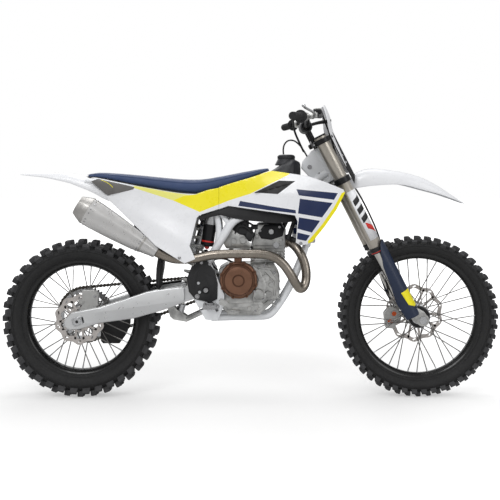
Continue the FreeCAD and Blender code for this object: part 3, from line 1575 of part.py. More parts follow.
def build():
    """Makes every sub-component and writes it."""
    rear = rear_centre
    front = front_centre
    save(tyre(rear, rear_tyre_radius, rear_tyre_width, rear_lug_height, rear_lug_count, rear_rim_radius,
              rear_rim_width), "rear_tyre")
    save(rim(rear, rear_rim_radius, rear_rim_width), "rear_rim")
    save(hub(rear, rear_hub_width, rear_hub_flange_place, rear_rim_radius, rear_rim_width), "rear_hub")
    save(disc(rear, rear_disc_radius, -rear_disc_place), "rear_disc")
    save(rear_sprocket(), "rear_sprocket")
    save(tyre(front, front_tyre_radius, front_tyre_width, front_lug_height, front_lug_count, front_rim_radius,
              front_rim_width), "front_tyre")
    save(rim(front, front_rim_radius, front_rim_width), "front_rim")
    save(hub(front, front_hub_width, front_hub_flange_place, front_rim_radius, front_rim_width), "front_hub")
    save(disc(front, front_disc_radius, front_disc_place), "front_disc")
    save(drive_chain(), "drive_chain")
    save(drive_sprocket(), "drive_sprocket")
    save(frame_backbone(), "frame_backbone")
    save(frame_cradle(), "frame_cradle")
    save(subframe(), "subframe")
    save(frame_guards(), "frame_guards")
    save(crankcase(), "crankcase")
    save(cylinder_head(), "cylinder_head")
    save(engine_covers(), "engine_covers")
    save(throttle_body(), "throttle_body")
    save(exhaust_header(), "exhaust_header")
    save(silencer(), "silencer")
    save(radiators(), "radiators")
    save(bodywork(shroud_corner, shroud_length, shroud_height, shroud_shares, shroud_tabs), "shrouds")
    save(bodywork(panel_corner, panel_length, panel_height, panel_shares, panel_tabs), "side_panels")
    save(fuel_tank(), "fuel_tank")
    save(seat(), "seat")
    save(rear_fender(), "rear_fender")
    save(airbox(), "airbox")
    save(swingarm(), "swingarm")
    save(rear_axle(), "rear_axle")
    save(shock_linkage(), "shock_linkage")
    save(shock_absorber(), "shock_absorber")
    save(rear_caliper(), "rear_caliper")
    save(chain_slider(), "chain_slider")
    save(chain_guide(), "chain_guide")
    save(footpegs(), "footpegs")
    save(foot_levers(), "foot_levers")
    save(tank_vent_hose(), "tank_vent_hose")
    save(triple_clamps(), "triple_clamps")
    save(fork_tubes(), "fork_tubes")
    save(fork_sliders(), "fork_sliders")
    save(front_axle(), "front_axle")
    save(fork_guards(), "fork_guards")
    save(handlebar(), "handlebar")
    save(bar_pad(), "bar_pad")
    save(grips(), "grips")
    save(hand_controls(), "hand_controls")
    save(front_fender(), "front_fender")
    save(number_plate(), "number_plate")
    save(front_caliper(), "front_caliper")
    save(front_brake_hose(), "front_brake_hose")
    save(throttle_cable(), "throttle_cable")


os.makedirs("parts", exist_ok=True)
build()
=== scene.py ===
"""A full-size motocross bike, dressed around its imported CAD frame.

Sizes are millimetres in the bike's own frame and become metres where a mesh is made: +X is forward, +Y is the
rider's left and +Z is up. Side-view places are pairs (x, z). Fork places are pairs of the distance along the
steering axis and the distance ahead of it.
"""
import math

import bmesh
import bpy
from mathutils import Matrix, Vector


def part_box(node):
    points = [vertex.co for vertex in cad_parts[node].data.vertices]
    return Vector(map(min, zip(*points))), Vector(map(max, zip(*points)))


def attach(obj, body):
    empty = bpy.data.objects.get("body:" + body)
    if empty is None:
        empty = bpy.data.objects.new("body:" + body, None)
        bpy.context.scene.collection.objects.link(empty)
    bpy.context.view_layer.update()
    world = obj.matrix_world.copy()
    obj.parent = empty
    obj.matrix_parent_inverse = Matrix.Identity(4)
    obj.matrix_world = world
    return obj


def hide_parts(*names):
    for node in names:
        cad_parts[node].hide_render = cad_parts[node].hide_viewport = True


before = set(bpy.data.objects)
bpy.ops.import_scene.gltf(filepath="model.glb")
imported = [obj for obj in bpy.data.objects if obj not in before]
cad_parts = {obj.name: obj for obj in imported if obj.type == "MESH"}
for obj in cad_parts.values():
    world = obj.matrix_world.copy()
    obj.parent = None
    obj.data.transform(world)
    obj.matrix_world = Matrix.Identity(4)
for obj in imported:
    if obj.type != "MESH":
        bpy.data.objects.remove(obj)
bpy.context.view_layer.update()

MM = 0.001
ACROSS = Vector((0, 1, 0))
UP = Vector((0, 0, 1))

# Sizes shared with the CAD frame
rake = math.radians(27.0)
fork_up = Vector((-math.sin(rake), 0, math.cos(rake)))
fork_ahead = Vector((math.cos(rake), 0, math.sin(rake)))
fork_length = 686.0
steering_head = Vector((612.8, 0, -13.6))
steer_foot = steering_head - fork_up * fork_length
upper_clamp = fork_length + 189.0
bar_height = upper_clamp + 87.0
leg_lead = 22.0
leg_half = 106.0
front_centre = steer_foot + fork_ahead * 57.0
rear_centre = Vector((-500, 0, front_centre.z - 7.0))
pivot = Vector((49, 0, -474))
arm_along = (pivot - rear_centre).normalized()
arm_up = Vector((-arm_along.z, 0, arm_along.x))
arm_length = (pivot - rear_centre).length
ground_z = front_centre.z - 351.0


def side_place(x, z, y):
    """A point from a side-view place and a distance to the left."""
    return Vector((x, y, z))


def fork_place(along, ahead, y):
    """A point from its place on the fork and a distance to the left."""
    return steer_foot + fork_up * along + fork_ahead * ahead + ACROSS * y


def head_place(above, ahead, y):
    """A point from its place above the lower clamp and a distance to the left."""
    return fork_place(fork_length + above, ahead, y)


def arm_place(behind, above, y):
    """A point behind the swingarm's pivot and above the line from there to the rear axle."""
    return pivot - arm_along * behind + arm_up * above + ACROSS * y


# Materials

bump_distance = 0.0006
gloss_spread = 0.07
least_roughness = 0.03


def srgb(red, green, blue):
    """A linear colour from eight-bit screen values."""
    shares = [v / 255 for v in (red, green, blue)]
    return tuple(((v + 0.055) / 1.055) ** 2.4 if v > 0.04 else v / 12.92 for v in shares) + (1,)


def shader_node(tree, kind, values=(), links=(), **settings):
    """A shader node with its settings, its values and what feeds it."""
    made = tree.nodes.new("ShaderNode" + kind)
    for name, value in settings.items():
        setattr(made, name, value)
    for name, value in dict(values).items():
        made.inputs[name].default_value = value
    for name, source in dict(links).items():
        tree.links.new(source, made.inputs[name])
    return made


def noise(tree, place, scale, detail):
    """A noise texture on a place."""
    return shader_node(tree, "TexNoise", {"Scale": scale, "Detail": detail}, {"Vector": place}).outputs["Fac"]


def ranged(tree, value, low, high, first=0.32, last=0.68):
    """A value spread from one range over another."""
    return shader_node(tree, "MapRange", {"From Min": first, "From Max": last, "To Min": low, "To Max": high},
        {"Value": value}).outputs["Result"]


def bumped(tree, height, strength, distance, under=None):
    """The normal of a bump, laid over another bump if there is one."""
    links = {"Height": height, "Normal": under} if under else {"Height": height}
    return shader_node(tree, "Bump", {"Strength": strength, "Distance": distance}, links).outputs["Normal"]


def new_material(name):
    """A material with its node tree and shader."""
    material = bpy.data.materials.new(name)
    material.use_nodes = True
    return material, material.node_tree, material.node_tree.nodes["Principled BSDF"]


def finish(name, screen_colour, roughness, metallic=0.0, shade=0.84, blotch=7.0, grain=1500.0, depth=0.10,
        coat=0.0, stretch=(1, 1, 1)):
    """A material with broad colour variation, uneven gloss and a fine grain."""
    material, tree, shader = new_material(name)
    place = shader_node(tree, "Mapping", {"Scale": stretch},
        {"Vector": shader_node(tree, "TexCoord").outputs["Object"]})
    place = place.outputs["Vector"]
    colour = srgb(*screen_colour)
    blend = shader_node(tree, "Mix", data_type="RGBA")
    blend.inputs[6].default_value = tuple(c * shade for c in colour[:3]) + (1,)
    blend.inputs[7].default_value = colour
    tree.links.new(ranged(tree, noise(tree, place, blotch, 5.0), 0.0, 1.0), blend.inputs[0])
    tree.links.new(blend.outputs[2], shader.inputs["Base Color"])
    low, high = max(least_roughness, roughness - gloss_spread), roughness + gloss_spread
    tree.links.new(ranged(tree, noise(tree, place, blotch * 6, 4.0), low, high), shader.inputs["Roughness"])
    tree.links.new(bumped(tree, noise(tree, place, grain, 3.0), depth, bump_distance),
        shader.inputs["Normal"])
    for socket, value in (("Metallic", metallic), ("Coat Weight", coat), ("Coat Roughness", 0.08)):
        shader.inputs[socket].default_value = value
    return material


brushed = (1, 22, 1)
panel_white = finish("panel_white", (240, 241, 244), 0.30, shade=0.94, grain=900, depth=0.05, coat=0.25)
# A darker grey for the fenders' inner faces: painted shade on their undersides.
fender_underside_painted_shade = finish("fender_underside_painted_shade", (214, 216, 220), 0.38, shade=0.93, grain=900, depth=0.08)
panel_yellow = finish("panel_yellow", (252, 238, 0), 0.32, shade=0.95, depth=0.05, coat=0.25)
pale_yellow = finish("pale_yellow", (244, 240, 130), 0.34, shade=0.95, depth=0.05, coat=0.2)
panel_navy = finish("panel_navy", (8, 32, 78), 0.40, shade=0.86, depth=0.05, coat=0.04)
plastic_black = finish("moulded_black", (30, 30, 32), 0.55, shade=0.75, grain=2200, depth=0.25)
inlet_dark = finish("inlet_dark", (112, 110, 108), 0.42, shade=0.70, blotch=14, grain=1600, depth=0.2)
tank_grey = finish("tank_grey", (36, 37, 42), 0.48, shade=0.85, grain=1600, depth=0.22)
guard_blue = finish("guard_blue", (20, 36, 64), 0.40, shade=0.86, depth=0.10, coat=0.06)
rubber = finish("tyre_rubber", (30, 30, 31), 0.72, shade=0.70, blotch=24, grain=1300, depth=0.35)
# A lighter copy of the tyre rubber for the knobs: painted highlight on the tread.
knob_rubber_painted_highlight = finish("knob_rubber_painted_highlight", (70, 70, 72), 0.78, shade=0.66, blotch=40, grain=1100, depth=0.40)
grip_rubber = finish("grip_rubber", (32, 32, 34), 0.74, shade=0.8, grain=1900, depth=0.3)
rim_black = finish("rim_black", (22, 22, 23), 0.30, metallic=0.35, shade=0.8, depth=0.05, coat=0.3)
frame_paint = finish("frame_paint", (240, 242, 245), 0.34, shade=0.92, depth=0.08, coat=0.3)
cast_metal = finish("cast_aluminium", (206, 206, 204), 0.34, metallic=0.9, shade=0.55, blotch=30, grain=900,
    depth=0.35)
arm_metal = finish("arm_aluminium", (218, 219, 220), 0.34, metallic=0.65, shade=0.93, blotch=9, grain=1400,
    depth=0.12)
machined = finish("machined_aluminium", (205, 206, 208), 0.28, metallic=1, shade=0.86, blotch=20, depth=0.10,
    stretch=brushed)
steel = finish("bright_steel", (190, 190, 192), 0.26, metallic=1, shade=0.80, blotch=26, depth=0.10)
spoke_steel = finish("spoke_steel", (132, 130, 128), 0.34, metallic=0.9, shade=0.86, blotch=26, depth=0.10)
disc_steel = finish("disc_steel", (206, 200, 196), 0.30, metallic=0.8, shade=0.80, blotch=30, depth=0.15)
fork_silver = finish("fork_silver", (186, 180, 170), 0.34, metallic=0.80, shade=0.90, depth=0.06)
slider_chrome = finish("slider_chrome", (206, 204, 200), 0.12, metallic=1, shade=0.92, depth=0.03)
bronze = finish("clutch_bronze", (134, 98, 78), 0.34, metallic=0.75, shade=0.74, blotch=11, grain=1200,
    depth=0.20)
bronze_dark = finish("clutch_bronze_dark", (92, 62, 46), 0.40, metallic=0.7, shade=0.7, blotch=20, depth=0.2)
header_steel = finish("header_steel", (156, 148, 138), 0.30, metallic=0.95, shade=0.78, blotch=12, depth=0.12)
silencer_metal = finish("silencer_metal", (214, 213, 212), 0.32, metallic=0.65, shade=0.86, blotch=6,
    grain=900, depth=0.12)
cap_metal = finish("silencer_cap", (186, 184, 181), 0.40, metallic=0.90, shade=0.82, blotch=9, depth=0.2)
anodised_black = finish("anodised_black", (34, 34, 36), 0.36, metallic=0.55, shade=0.8, depth=0.10)
caliper_metal = finish("caliper_metal", (192, 192, 190), 0.36, metallic=0.85, shade=0.84, blotch=22,
    depth=0.2)
cap_orange = finish("caliper_cap", (206, 88, 40), 0.35, metallic=0.5, shade=0.85, depth=0.1)
accent_red = finish("accent_red", (208, 44, 34), 0.38, shade=0.9, depth=0.08)
spring_white = finish("spring_white", (224, 224, 222), 0.36, shade=0.9, depth=0.08, coat=0.2)
hose_black = finish("hose_black", (24, 24, 25), 0.50, shade=0.8, grain=1800, depth=0.2)
chain_steel = finish("chain_steel", (92, 88, 82), 0.40, metallic=0.95, shade=0.6, blotch=60)
core_black = finish("radiator_core", (46, 47, 49), 0.48, metallic=0.5, shade=0.7, blotch=60, depth=0.3)


def seat_cover(name, screen_colour):
    """A grained seat cover with a fine leather-like cell pattern."""
    material = finish(name, screen_colour, 0.62, shade=0.86, blotch=5, grain=2600, depth=0.2)
    tree = material.node_tree
    shader = tree.nodes["Principled BSDF"]
    coordinates = next(n for n in tree.nodes if n.type == "TEX_COORD").outputs["Object"]
    cells = shader_node(tree, "TexVoronoi", {"Scale": 620.0}, {"Vector": coordinates}).outputs["Distance"]
    grain = shader.inputs["Normal"].links[0].from_socket
    tree.links.new(bumped(tree, cells, 0.30, 0.0008, grain), shader.inputs["Normal"])
    shader.inputs["Sheen Weight"].default_value = 0.15
    return material


seat_navy = seat_cover("seat_navy", (44, 65, 106))
pad_cover = seat_cover("bar_pad_cover", (34, 35, 38))

# Shapes

weld_distance = 1e-6
sharp = math.radians(30)


def merged(first, *others):
    """Several meshes under work, as one."""
    for other in others:
        mesh = bpy.data.meshes.new("part")
        other.to_mesh(mesh)
        other.free()
        first.from_mesh(mesh)
        bpy.data.meshes.remove(mesh)
    return first


def moved(shape, matrix):
    """The shape put through a matrix."""
    bmesh.ops.transform(shape, matrix=matrix, verts=shape.verts)
    return shape


def about(centre, axis, angle):
    """The matrix of a turn about an axis through a place in millimetres."""
    spot = centre * MM
    return Matrix.Translation(spot) @ Matrix.Rotation(angle, 4, axis) @ Matrix.Translation(-spot)


def mirrored(shape):
    """The shape and its mirror image across the bike's middle."""
    other = shape.copy()
    moved(other, Matrix.Scale(-1, 4, ACROSS))
    bmesh.ops.reverse_faces(other, faces=other.faces)
    return merged(shape, other)


def around(shape, centre, count, axis=ACROSS):
    """The shape repeated about an axle."""
    bmesh.ops.spin(shape, geom=shape.verts[:] + shape.edges[:] + shape.faces[:], cent=centre * MM, axis=axis,
        angle=2 * math.pi * (count - 1) / count, steps=count - 1, use_duplicate=True)
    return shape


def softened(shape, width, segments=2):
    """The shape with its sharp edges rounded."""
    edges = [e for e in shape.edges if len(e.link_faces) == 2 and e.calc_face_angle() > sharp]
    if width and edges:
        bmesh.ops.bevel(shape, geom=edges, offset=width * MM, segments=segments, profile=0.5, affect="EDGES",
            material=-1, clamp_overlap=True)
    return shape


def strand(shape, places):
    """The corners and edges of an open line through places."""
    verts = [shape.verts.new(p * MM) for p in places]
    return verts, [shape.edges.new(pair) for pair in zip(verts, verts[1:])]


def ring(shape, places):
    """The edges of a closed line through places."""
    verts = [shape.verts.new(p * MM) for p in places]
    return [shape.edges.new((verts[i - 1], verts[i])) for i in range(len(verts))]


def cut(shape, place, normal, geom=None):
    """The shape with its faces split along a plane."""
    bmesh.ops.bisect_plane(shape, geom=geom or shape.verts[:] + shape.edges[:] + shape.faces[:],
        dist=weld_distance, plane_co=place * MM, plane_no=normal)


def draped(rows, outward):
    """A sheet through rows of places, with its faces to one side."""
    shape = bmesh.new()
    strands = [strand(shape, row)[1] for row in rows]
    for first, second in zip(strands, strands[1:]):
        bmesh.ops.bridge_loops(shape, edges=first + second)
    return facing(shape, outward)


def facing(shape, outward):
    """The shape with its faces turned to one side."""
    bmesh.ops.recalc_face_normals(shape, faces=shape.faces)
    if sum(f.normal.dot(outward) for f in shape.faces) < 0:
        bmesh.ops.reverse_faces(shape, faces=shape.faces)
    return shape


def turned(profile, origin, axis, segments=48, closed=True):
    """A form turned about an axis from (radius, distance along) places."""
    shape = bmesh.new()
    origin = Vector(origin)
    out = axis.orthogonal().normalized()
    verts, edges = strand(shape, [origin + axis * a + out * r for r, a in profile])
    if closed:
        edges.append(shape.edges.new((verts[-1], verts[0])))
    bmesh.ops.spin(shape, geom=verts + edges, cent=origin * MM, axis=axis, angle=2 * math.pi, steps=segments,
        use_merge=True)
    bmesh.ops.remove_doubles(shape, verts=shape.verts, dist=weld_distance)
    return shape


def drum(start, end, radius, segments=24, edge=0.0, end_radius=None):
    """A round bar between two points, its ends rounded off by the edge."""
    start, end = Vector(start), Vector(end)
    run = (end - start).length
    last = radius if end_radius is None else end_radius
    profile = [(0, 0), (radius - edge, 0), (radius, edge), (last, run - edge), (last - edge, run), (0, run)]
    if not edge:
        profile = [(0, 0), (radius, 0), (last, run), (0, run)]
    return turned(profile, start, (end - start).normalized(), segments, closed=False)


def cross_drum(x, z, low, high, radius, segments=24, edge=0.0):
    """A round bar that lies across the bike."""
    return drum((x, low, z), (x, high, z), radius, segments, edge)


def slab(outline, low, high, holes=(), edge=0.0, segments=2, place=side_place):
    """A plate with an outline and holes, between two distances to the left."""
    shape = bmesh.new()
    for loop in [outline, *holes]:
        ring(shape, [place(a, b, low) for a, b in loop])
    if holes:
        bmesh.ops.triangle_fill(shape, use_beauty=True, edges=shape.edges[:])
    else:
        bmesh.ops.contextual_create(shape, geom=shape.edges[:])
    made = bmesh.ops.extrude_face_region(shape, geom=shape.faces[:])["geom"]
    verts = [g for g in made if isinstance(g, bmesh.types.BMVert)]
    bmesh.ops.translate(shape, verts=verts, vec=ACROSS * ((high - low) * MM))
    bmesh.ops.recalc_face_normals(shape, faces=shape.faces)
    return softened(shape, edge, segments)


def circle(x, z, radius, count=20):
    """A round hole's or boss's outline."""
    return [(x + radius * math.cos(2 * math.pi * i / count), z + radius * math.sin(2 * math.pi * i / count))
        for i in range(count)]


def spread_about(x, z, radius, count, shift=0.0):
    """Side-view places spread evenly about a point, from the top."""
    angles = [2 * math.pi * (i + shift) / count for i in range(count)]
    return [(x + radius * math.sin(a), z + radius * math.cos(a)) for a in angles]


def block(centre, size, edge=0.0, turn=None):
    """A rounded block, turned by a matrix about its middle."""
    shape = bmesh.new()
    bmesh.ops.create_cube(shape, size=1.0)
    moved(shape, Matrix.Diagonal((*[v * MM for v in size], 1)))
    softened(shape, edge)
    return moved(shape, Matrix.Translation(Vector(centre) * MM) @ (turn or Matrix.Identity(4)))


def pointing(direction):
    """The turn that lays a form's Z along a direction."""
    return direction.to_track_quat("Z", "Y").to_matrix().to_4x4()


def route_curve(name, points, radius, sides=12, steps=10):
    """A smooth curve with thickness through control points."""
    curve = bpy.data.curves.new(name, "CURVE")
    curve.dimensions = "3D"
    spline = curve.splines.new("NURBS")
    spline.points.add(len(points) - 1)
    for point, place in zip(spline.points, points):
        point.co = (*(place * MM), 1)
    spline.order_u = 3
    spline.use_endpoint_u = True
    curve.resolution_u = steps
    curve.bevel_depth = radius * MM
    curve.bevel_resolution = max(0, sides // 4 - 1)
    curve.use_fill_caps = True
    return curve


def pipe(points, radius, sides=16, steps=10):
    """A tube along a smooth route."""
    curve = route_curve("route", [Vector(p) for p in points], radius, sides, steps)
    holder = bpy.data.objects.new("route", curve)
    mesh = bpy.data.meshes.new_from_object(holder)
    shape = bmesh.new()
    shape.from_mesh(mesh)
    bpy.data.objects.remove(holder)
    bpy.data.meshes.remove(mesh)
    bmesh.ops.remove_doubles(shape, verts=shape.verts, dist=weld_distance)
    return shape


def lofted(sections):
    """A closed skin over outlines with as many corners each."""
    shape = bmesh.new()
    loops = [ring(shape, section) for section in sections]
    for first, second in zip(loops, loops[1:]):
        bmesh.ops.bridge_loops(shape, edges=first + second)
    for loop in (loops[0], loops[-1]):
        bmesh.ops.contextual_create(shape, geom=loop)
    bmesh.ops.recalc_face_normals(shape, faces=shape.faces)
    return shape


def piece(name, shape, body, material, replaces=(), angle=30.0, rounds=0, wall=0.0):
    """A finished piece of the bike from a mesh under work."""
    bmesh.ops.remove_doubles(shape, verts=shape.verts, dist=weld_distance)
    if wall == 0.0:
        bmesh.ops.recalc_face_normals(shape, faces=shape.faces)
    mesh = bpy.data.meshes.new(name)
    shape.to_mesh(mesh)
    shape.free()
    mesh.materials.append(material)
    mesh.shade_smooth()
    mesh.set_sharp_from_angle(angle=math.radians(angle))
    item = bpy.data.objects.new(name, mesh)
    bpy.context.scene.collection.objects.link(item)
    if wall:
        skin = item.modifiers.new("wall", "SOLIDIFY")
        skin.thickness = wall * MM
        skin.offset = -1.0
    if rounds:
        smoother = item.modifiers.new("rounds", "SUBSURF")
        smoother.levels = smoother.render_levels = rounds
    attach(item, body)
    if replaces:
        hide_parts(*replaces)
    return item


def edged(item, width, segments, angle):
    """The piece with its sharp edges rounded last."""
    edges = item.modifiers.new("edges", "BEVEL")
    edges.width, edges.segments, edges.limit_method = width * MM, segments, "ANGLE"
    edges.angle_limit = math.radians(angle)
    return item


# Stage, light and camera


def stage():
    """A pale floor, soft light and the camera at the photograph's place."""
    scene = bpy.context.scene
    scene.view_settings.view_transform = "Standard"
    shape = bmesh.new()
    bmesh.ops.create_grid(shape, x_segments=1, y_segments=1, size=30.0)
    moved(shape, Matrix.Translation((0, 0, ground_z * MM)))
    floor = bpy.data.meshes.new("floor")
    shape.to_mesh(floor)
    shape.free()
    pale, tree, shader = new_material("floor_white")
    shader.inputs["Base Color"].default_value = (0.62, 0.62, 0.62, 1)
    shader.inputs["Roughness"].default_value = 0.9
    shader.inputs["Specular IOR Level"].default_value = 0.1
    place = shader_node(tree, "TexCoord").outputs["Object"]
    away = shader_node(tree, "VectorMath", links={0: place}, operation="LENGTH").outputs["Value"]
    camera_ray = shader_node(tree, "LightPath").outputs["Is Camera Ray"]
    seen = shader_node(tree, "Math", links={0: camera_ray, 1: ranged(tree, away, 0.42, 1.0, 1.3, 3.2)},
        operation="MULTIPLY")
    shader.inputs["Emission Color"].default_value = (1, 1, 1, 1)
    tree.links.new(seen.outputs["Value"], shader.inputs["Emission Strength"])
    floor.materials.append(pale)
    ground = bpy.data.objects.new("floor", floor)
    scene.collection.objects.link(ground)
    world = bpy.data.worlds.new("studio")
    scene.world = world
    world.use_nodes = True
    tree = world.node_tree
    back = tree.nodes["Background"]
    back.inputs["Color"].default_value = (1, 1, 1, 1)
    rays = shader_node(tree, "LightPath").outputs
    seen = shader_node(tree, "Math", links={0: rays["Is Camera Ray"], 1: rays["Is Transmission Ray"]},
        operation="MAXIMUM")
    tree.links.new(ranged(tree, seen.outputs["Value"], 0.50, 1.0, 0.0, 1.0), back.inputs["Strength"])
    for name, place, aim, size, power in (("key", (-1.6, -4.2, 3.4), (0.2, 0, -0.3), 2.6, 104),
            ("fill", (3.6, -3.2, 1.4), (0.4, 0, -0.4), 2.4, 34), ("top", (0.2, 0.6, 4.2), (0.2, 0, 0), 3, 78),
            ("back", (-1, 4.2, 2.4), (0.2, 0, -0.3), 2.8, 40)):
        data = bpy.data.lights.new(name, "AREA")
        data.size, data.energy = size, power
        lamp = bpy.data.objects.new(name, data)
        lamp.location = place
        lamp.rotation_euler = (Vector(aim) - Vector(place)).to_track_quat("-Z", "Y").to_euler()
        scene.collection.objects.link(lamp)
    view = bpy.data.cameras.new("camera")
    view.lens, view.sensor_width, view.shift_y = 59.6, 36, -0.15
    camera = bpy.data.objects.new("camera", view)
    camera.location = (0.2382, -3.65, 0.0198)
    camera.rotation_euler = (math.pi / 2, 0, 0)
    scene.collection.objects.link(camera)
    scene.camera = camera


stage()

# Wheels

wheel_segments = 144
spoke_count = 36
spoke_radius = 2.3
petals = 10


def knob(centre, angle, radius, y, size, lean=0.0):
    """One tread knob: its size is (along the tread, across it, out), and it leans to the side."""
    length, width, height = size
    shape = bmesh.new()
    bmesh.ops.create_cube(shape, size=1.0)
    moved(shape, Matrix.Diagonal((length * MM, width * MM, height * MM, 1)))
    for vert in shape.verts:
        if vert.co.z > 0:
            vert.co.x *= 0.86
            vert.co.y *= 0.88
    bmesh.ops.bevel(shape, geom=shape.edges[:], offset=0.0012, segments=1, profile=0.5, affect="EDGES",
        material=-1, clamp_overlap=True)
    lift = Matrix.Translation(Vector((0, 0, (height / 2 - 2.5) * MM)))
    spot = Matrix.Translation((Vector((0, y, radius)) + centre) * MM)
    moved(shape, about(centre, ACROSS, angle) @ spot @ Matrix.Rotation(-lean, 4, "X") @ lift)
    return shape


def tyre(name, centre, radius, width, lug, rim_radius, rows, body):
    """A knobbly tyre: a smooth carcass, beads and three kinds of knobs."""
    base = rim_radius - 11.0
    height = radius - lug - base
    half = width / 2
    outline = [(0, 0.34), (0.05, 0.50), (0.12, 0.56), (0.16, 0.60), (0.30, 0.80), (0.50, 0.93), (0.66, 0.95),
        (0.80, 0.84), (0.91, 0.62), (0.975, 0.32), (1, 0)]
    right = [(base + height * a, half * b) for a, b in outline]
    profile = right + [(r, -y) for r, y in right[-2::-1]]
    piece(name, turned(profile, centre, ACROSS, wheel_segments), body, rubber, [name],
        angle=35.0)
    pitch = 2 * math.pi / rows
    length = 2 * math.pi * radius / rows
    crown = radius - lug
    shoulder = math.radians(52)
    knobs = [(1, 0, 0, 0.19, 0.46, 0.28, 2.4, 0), (-1, 0, 0, 0.19, 0.46, 0.28, 2.4, 0),
        (1, 1, 0, 0, 0.48, 0.42, 2.4, 0)]
    for side in (-1, 1):
        knobs += [(side, 0.02, 0.04, 0.56, 0.46, 0.25, 4, 0.42),
            (side, 1.02, 0.04, 0.56, 0.46, 0.25, 4, 0.42), (side, 0.5, 0.20, 0.85, 0.56, 0.25, 5, 1),
            (side, 1.5, 0.20, 0.85, 0.56, 0.25, 5, 1)]
    tread = bmesh.new()
    for side, turn, drop, out, long_share, wide_share, rise, lean in knobs:
        merged(tread, knob(centre, pitch * turn, crown - height * drop, side * half * out,
            (length * long_share, half * wide_share, lug + rise), side * shoulder * lean))
    around(tread, centre, rows // 2)
    # The knobs take the lighter rubber: painted highlight on the knobs' tops.
    piece(name + "_knobs", tread, body, knob_rubber_painted_highlight)
    lines = bmesh.new()
    for side in (-1, 1):
        for share, out in ((0.21, 0.665), (0.62, 0.953)):
            r, y = base + height * share, side * half * out
            rib = [(r - 1.6, y - side * 1.0), (r, y + side * 1.3), (r + 1.6, y - side * 1.0)]
            merged(lines, turned(rib, centre, ACROSS, wheel_segments))
    piece(name + "_ribs", lines, body, rubber, angle=35.0)


def rim(name, centre, radius, width, body):
    """A black rim with rolled flanges and a dropped well."""
    half = width / 2
    profile = [(radius, -half), (radius - 1.5, 2.5 - half), (radius - 12, 5.5 - half),
        (radius - 14, -half * 0.5), (radius - 20, -half * 0.3), (radius - 20, half * 0.3),
        (radius - 14, half * 0.5), (radius - 12, half - 5.5), (radius - 1.5, half - 2.5), (radius, half),
        (radius - 4, half + 0.5), (radius - 12, half - 2.0), (radius - 18, half * 0.72),
        (radius - 25.5, half * 0.34), (radius - 25.5, -half * 0.34), (radius - 18, -half * 0.72),
        (radius - 12, 2.0 - half), (radius - 4, -half - 0.5)]
    piece(name, turned(profile, centre, ACROSS, wheel_segments), body, rim_black, [name],
        angle=35.0)


def wheel_core(name, centre, flange, reach, rim_width, width, body, seal_side):
    """The hub, its seal, the spokes and their nipples."""
    shape = turned([(13, -width / 2), (19, -width / 2), (22, -width / 2 + 6), (26, -flange - 12),
        (26, -flange - 7), (48, -flange - 5), (50, -flange - 2), (50, 2 - flange), (47, 4 - flange),
        (30, 10 - flange), (23, 22 - flange), (22, 0), (23, flange - 22), (30, flange - 10), (47, flange - 4),
        (50, flange - 2), (50, flange + 2), (48, flange + 5), (26, flange + 7), (26, flange + 12),
        (22, width / 2 - 6), (19, width / 2), (13, width / 2)], centre, ACROSS, 64)
    piece(name, shape, body, machined, [name], angle=35.0)
    seal = turned([(33, seal_side * (flange + 5.5)), (47, seal_side * (flange + 4.5)),
        (47, seal_side * (flange + 9)), (44, seal_side * (flange + 11)), (33, seal_side * (flange + 11))],
        centre, ACROSS, 64)
    piece(name + "_seal_ring", seal, body, anodised_black, angle=35.0)
    wires, nipples = bmesh.new(), bmesh.new()
    step = 2 * math.pi / spoke_count
    for i in range(4):
        side = -1 if i % 2 else 1
        turn = 1 if i % 4 < 2 else -1
        lean = step * (i + 4 * turn)
        start = centre + Vector((45 * math.sin(lean), side * flange + turn * 3.2, 45 * math.cos(lean)))
        out = Vector((math.sin(step * i), 0, math.cos(step * i)))
        end = centre + out * reach + ACROSS * (side * rim_width / 9)
        merged(wires, drum(start, end, spoke_radius, 8),
            drum(start - ACROSS * (turn * 3.0), start + ACROSS * (turn * 1.2), 3.4, 8))
        inward = (start - end).normalized()
        merged(nipples, drum(end - inward * 2, end + inward * 15, 3.1, 6))
    around(wires, centre, spoke_count // 4)
    around(nipples, centre, spoke_count // 4)
    piece(name + "_spokes", wires, body, spoke_steel, angle=35.0)
    piece(name + "_nipples", nipples, body, machined, angle=35.0)


def wavy(centre, radius, depth):
    """A round outline with a wave for each petal, as side-view places."""
    places = []
    total = petals * 8
    for i in range(total):
        angle = 2 * math.pi * i / total
        reach = radius + depth * math.cos(petals * angle)
        places.append((centre.x + reach * math.sin(angle), centre.z + reach * math.cos(angle)))
    return places


def turned_places(places, centre, angle):
    """Side-view places, given from an axle, turned about it."""
    cos, sin = math.cos(angle), math.sin(angle)
    return [(centre.x + x * cos + z * sin, centre.z - x * sin + z * cos) for x, z in places]


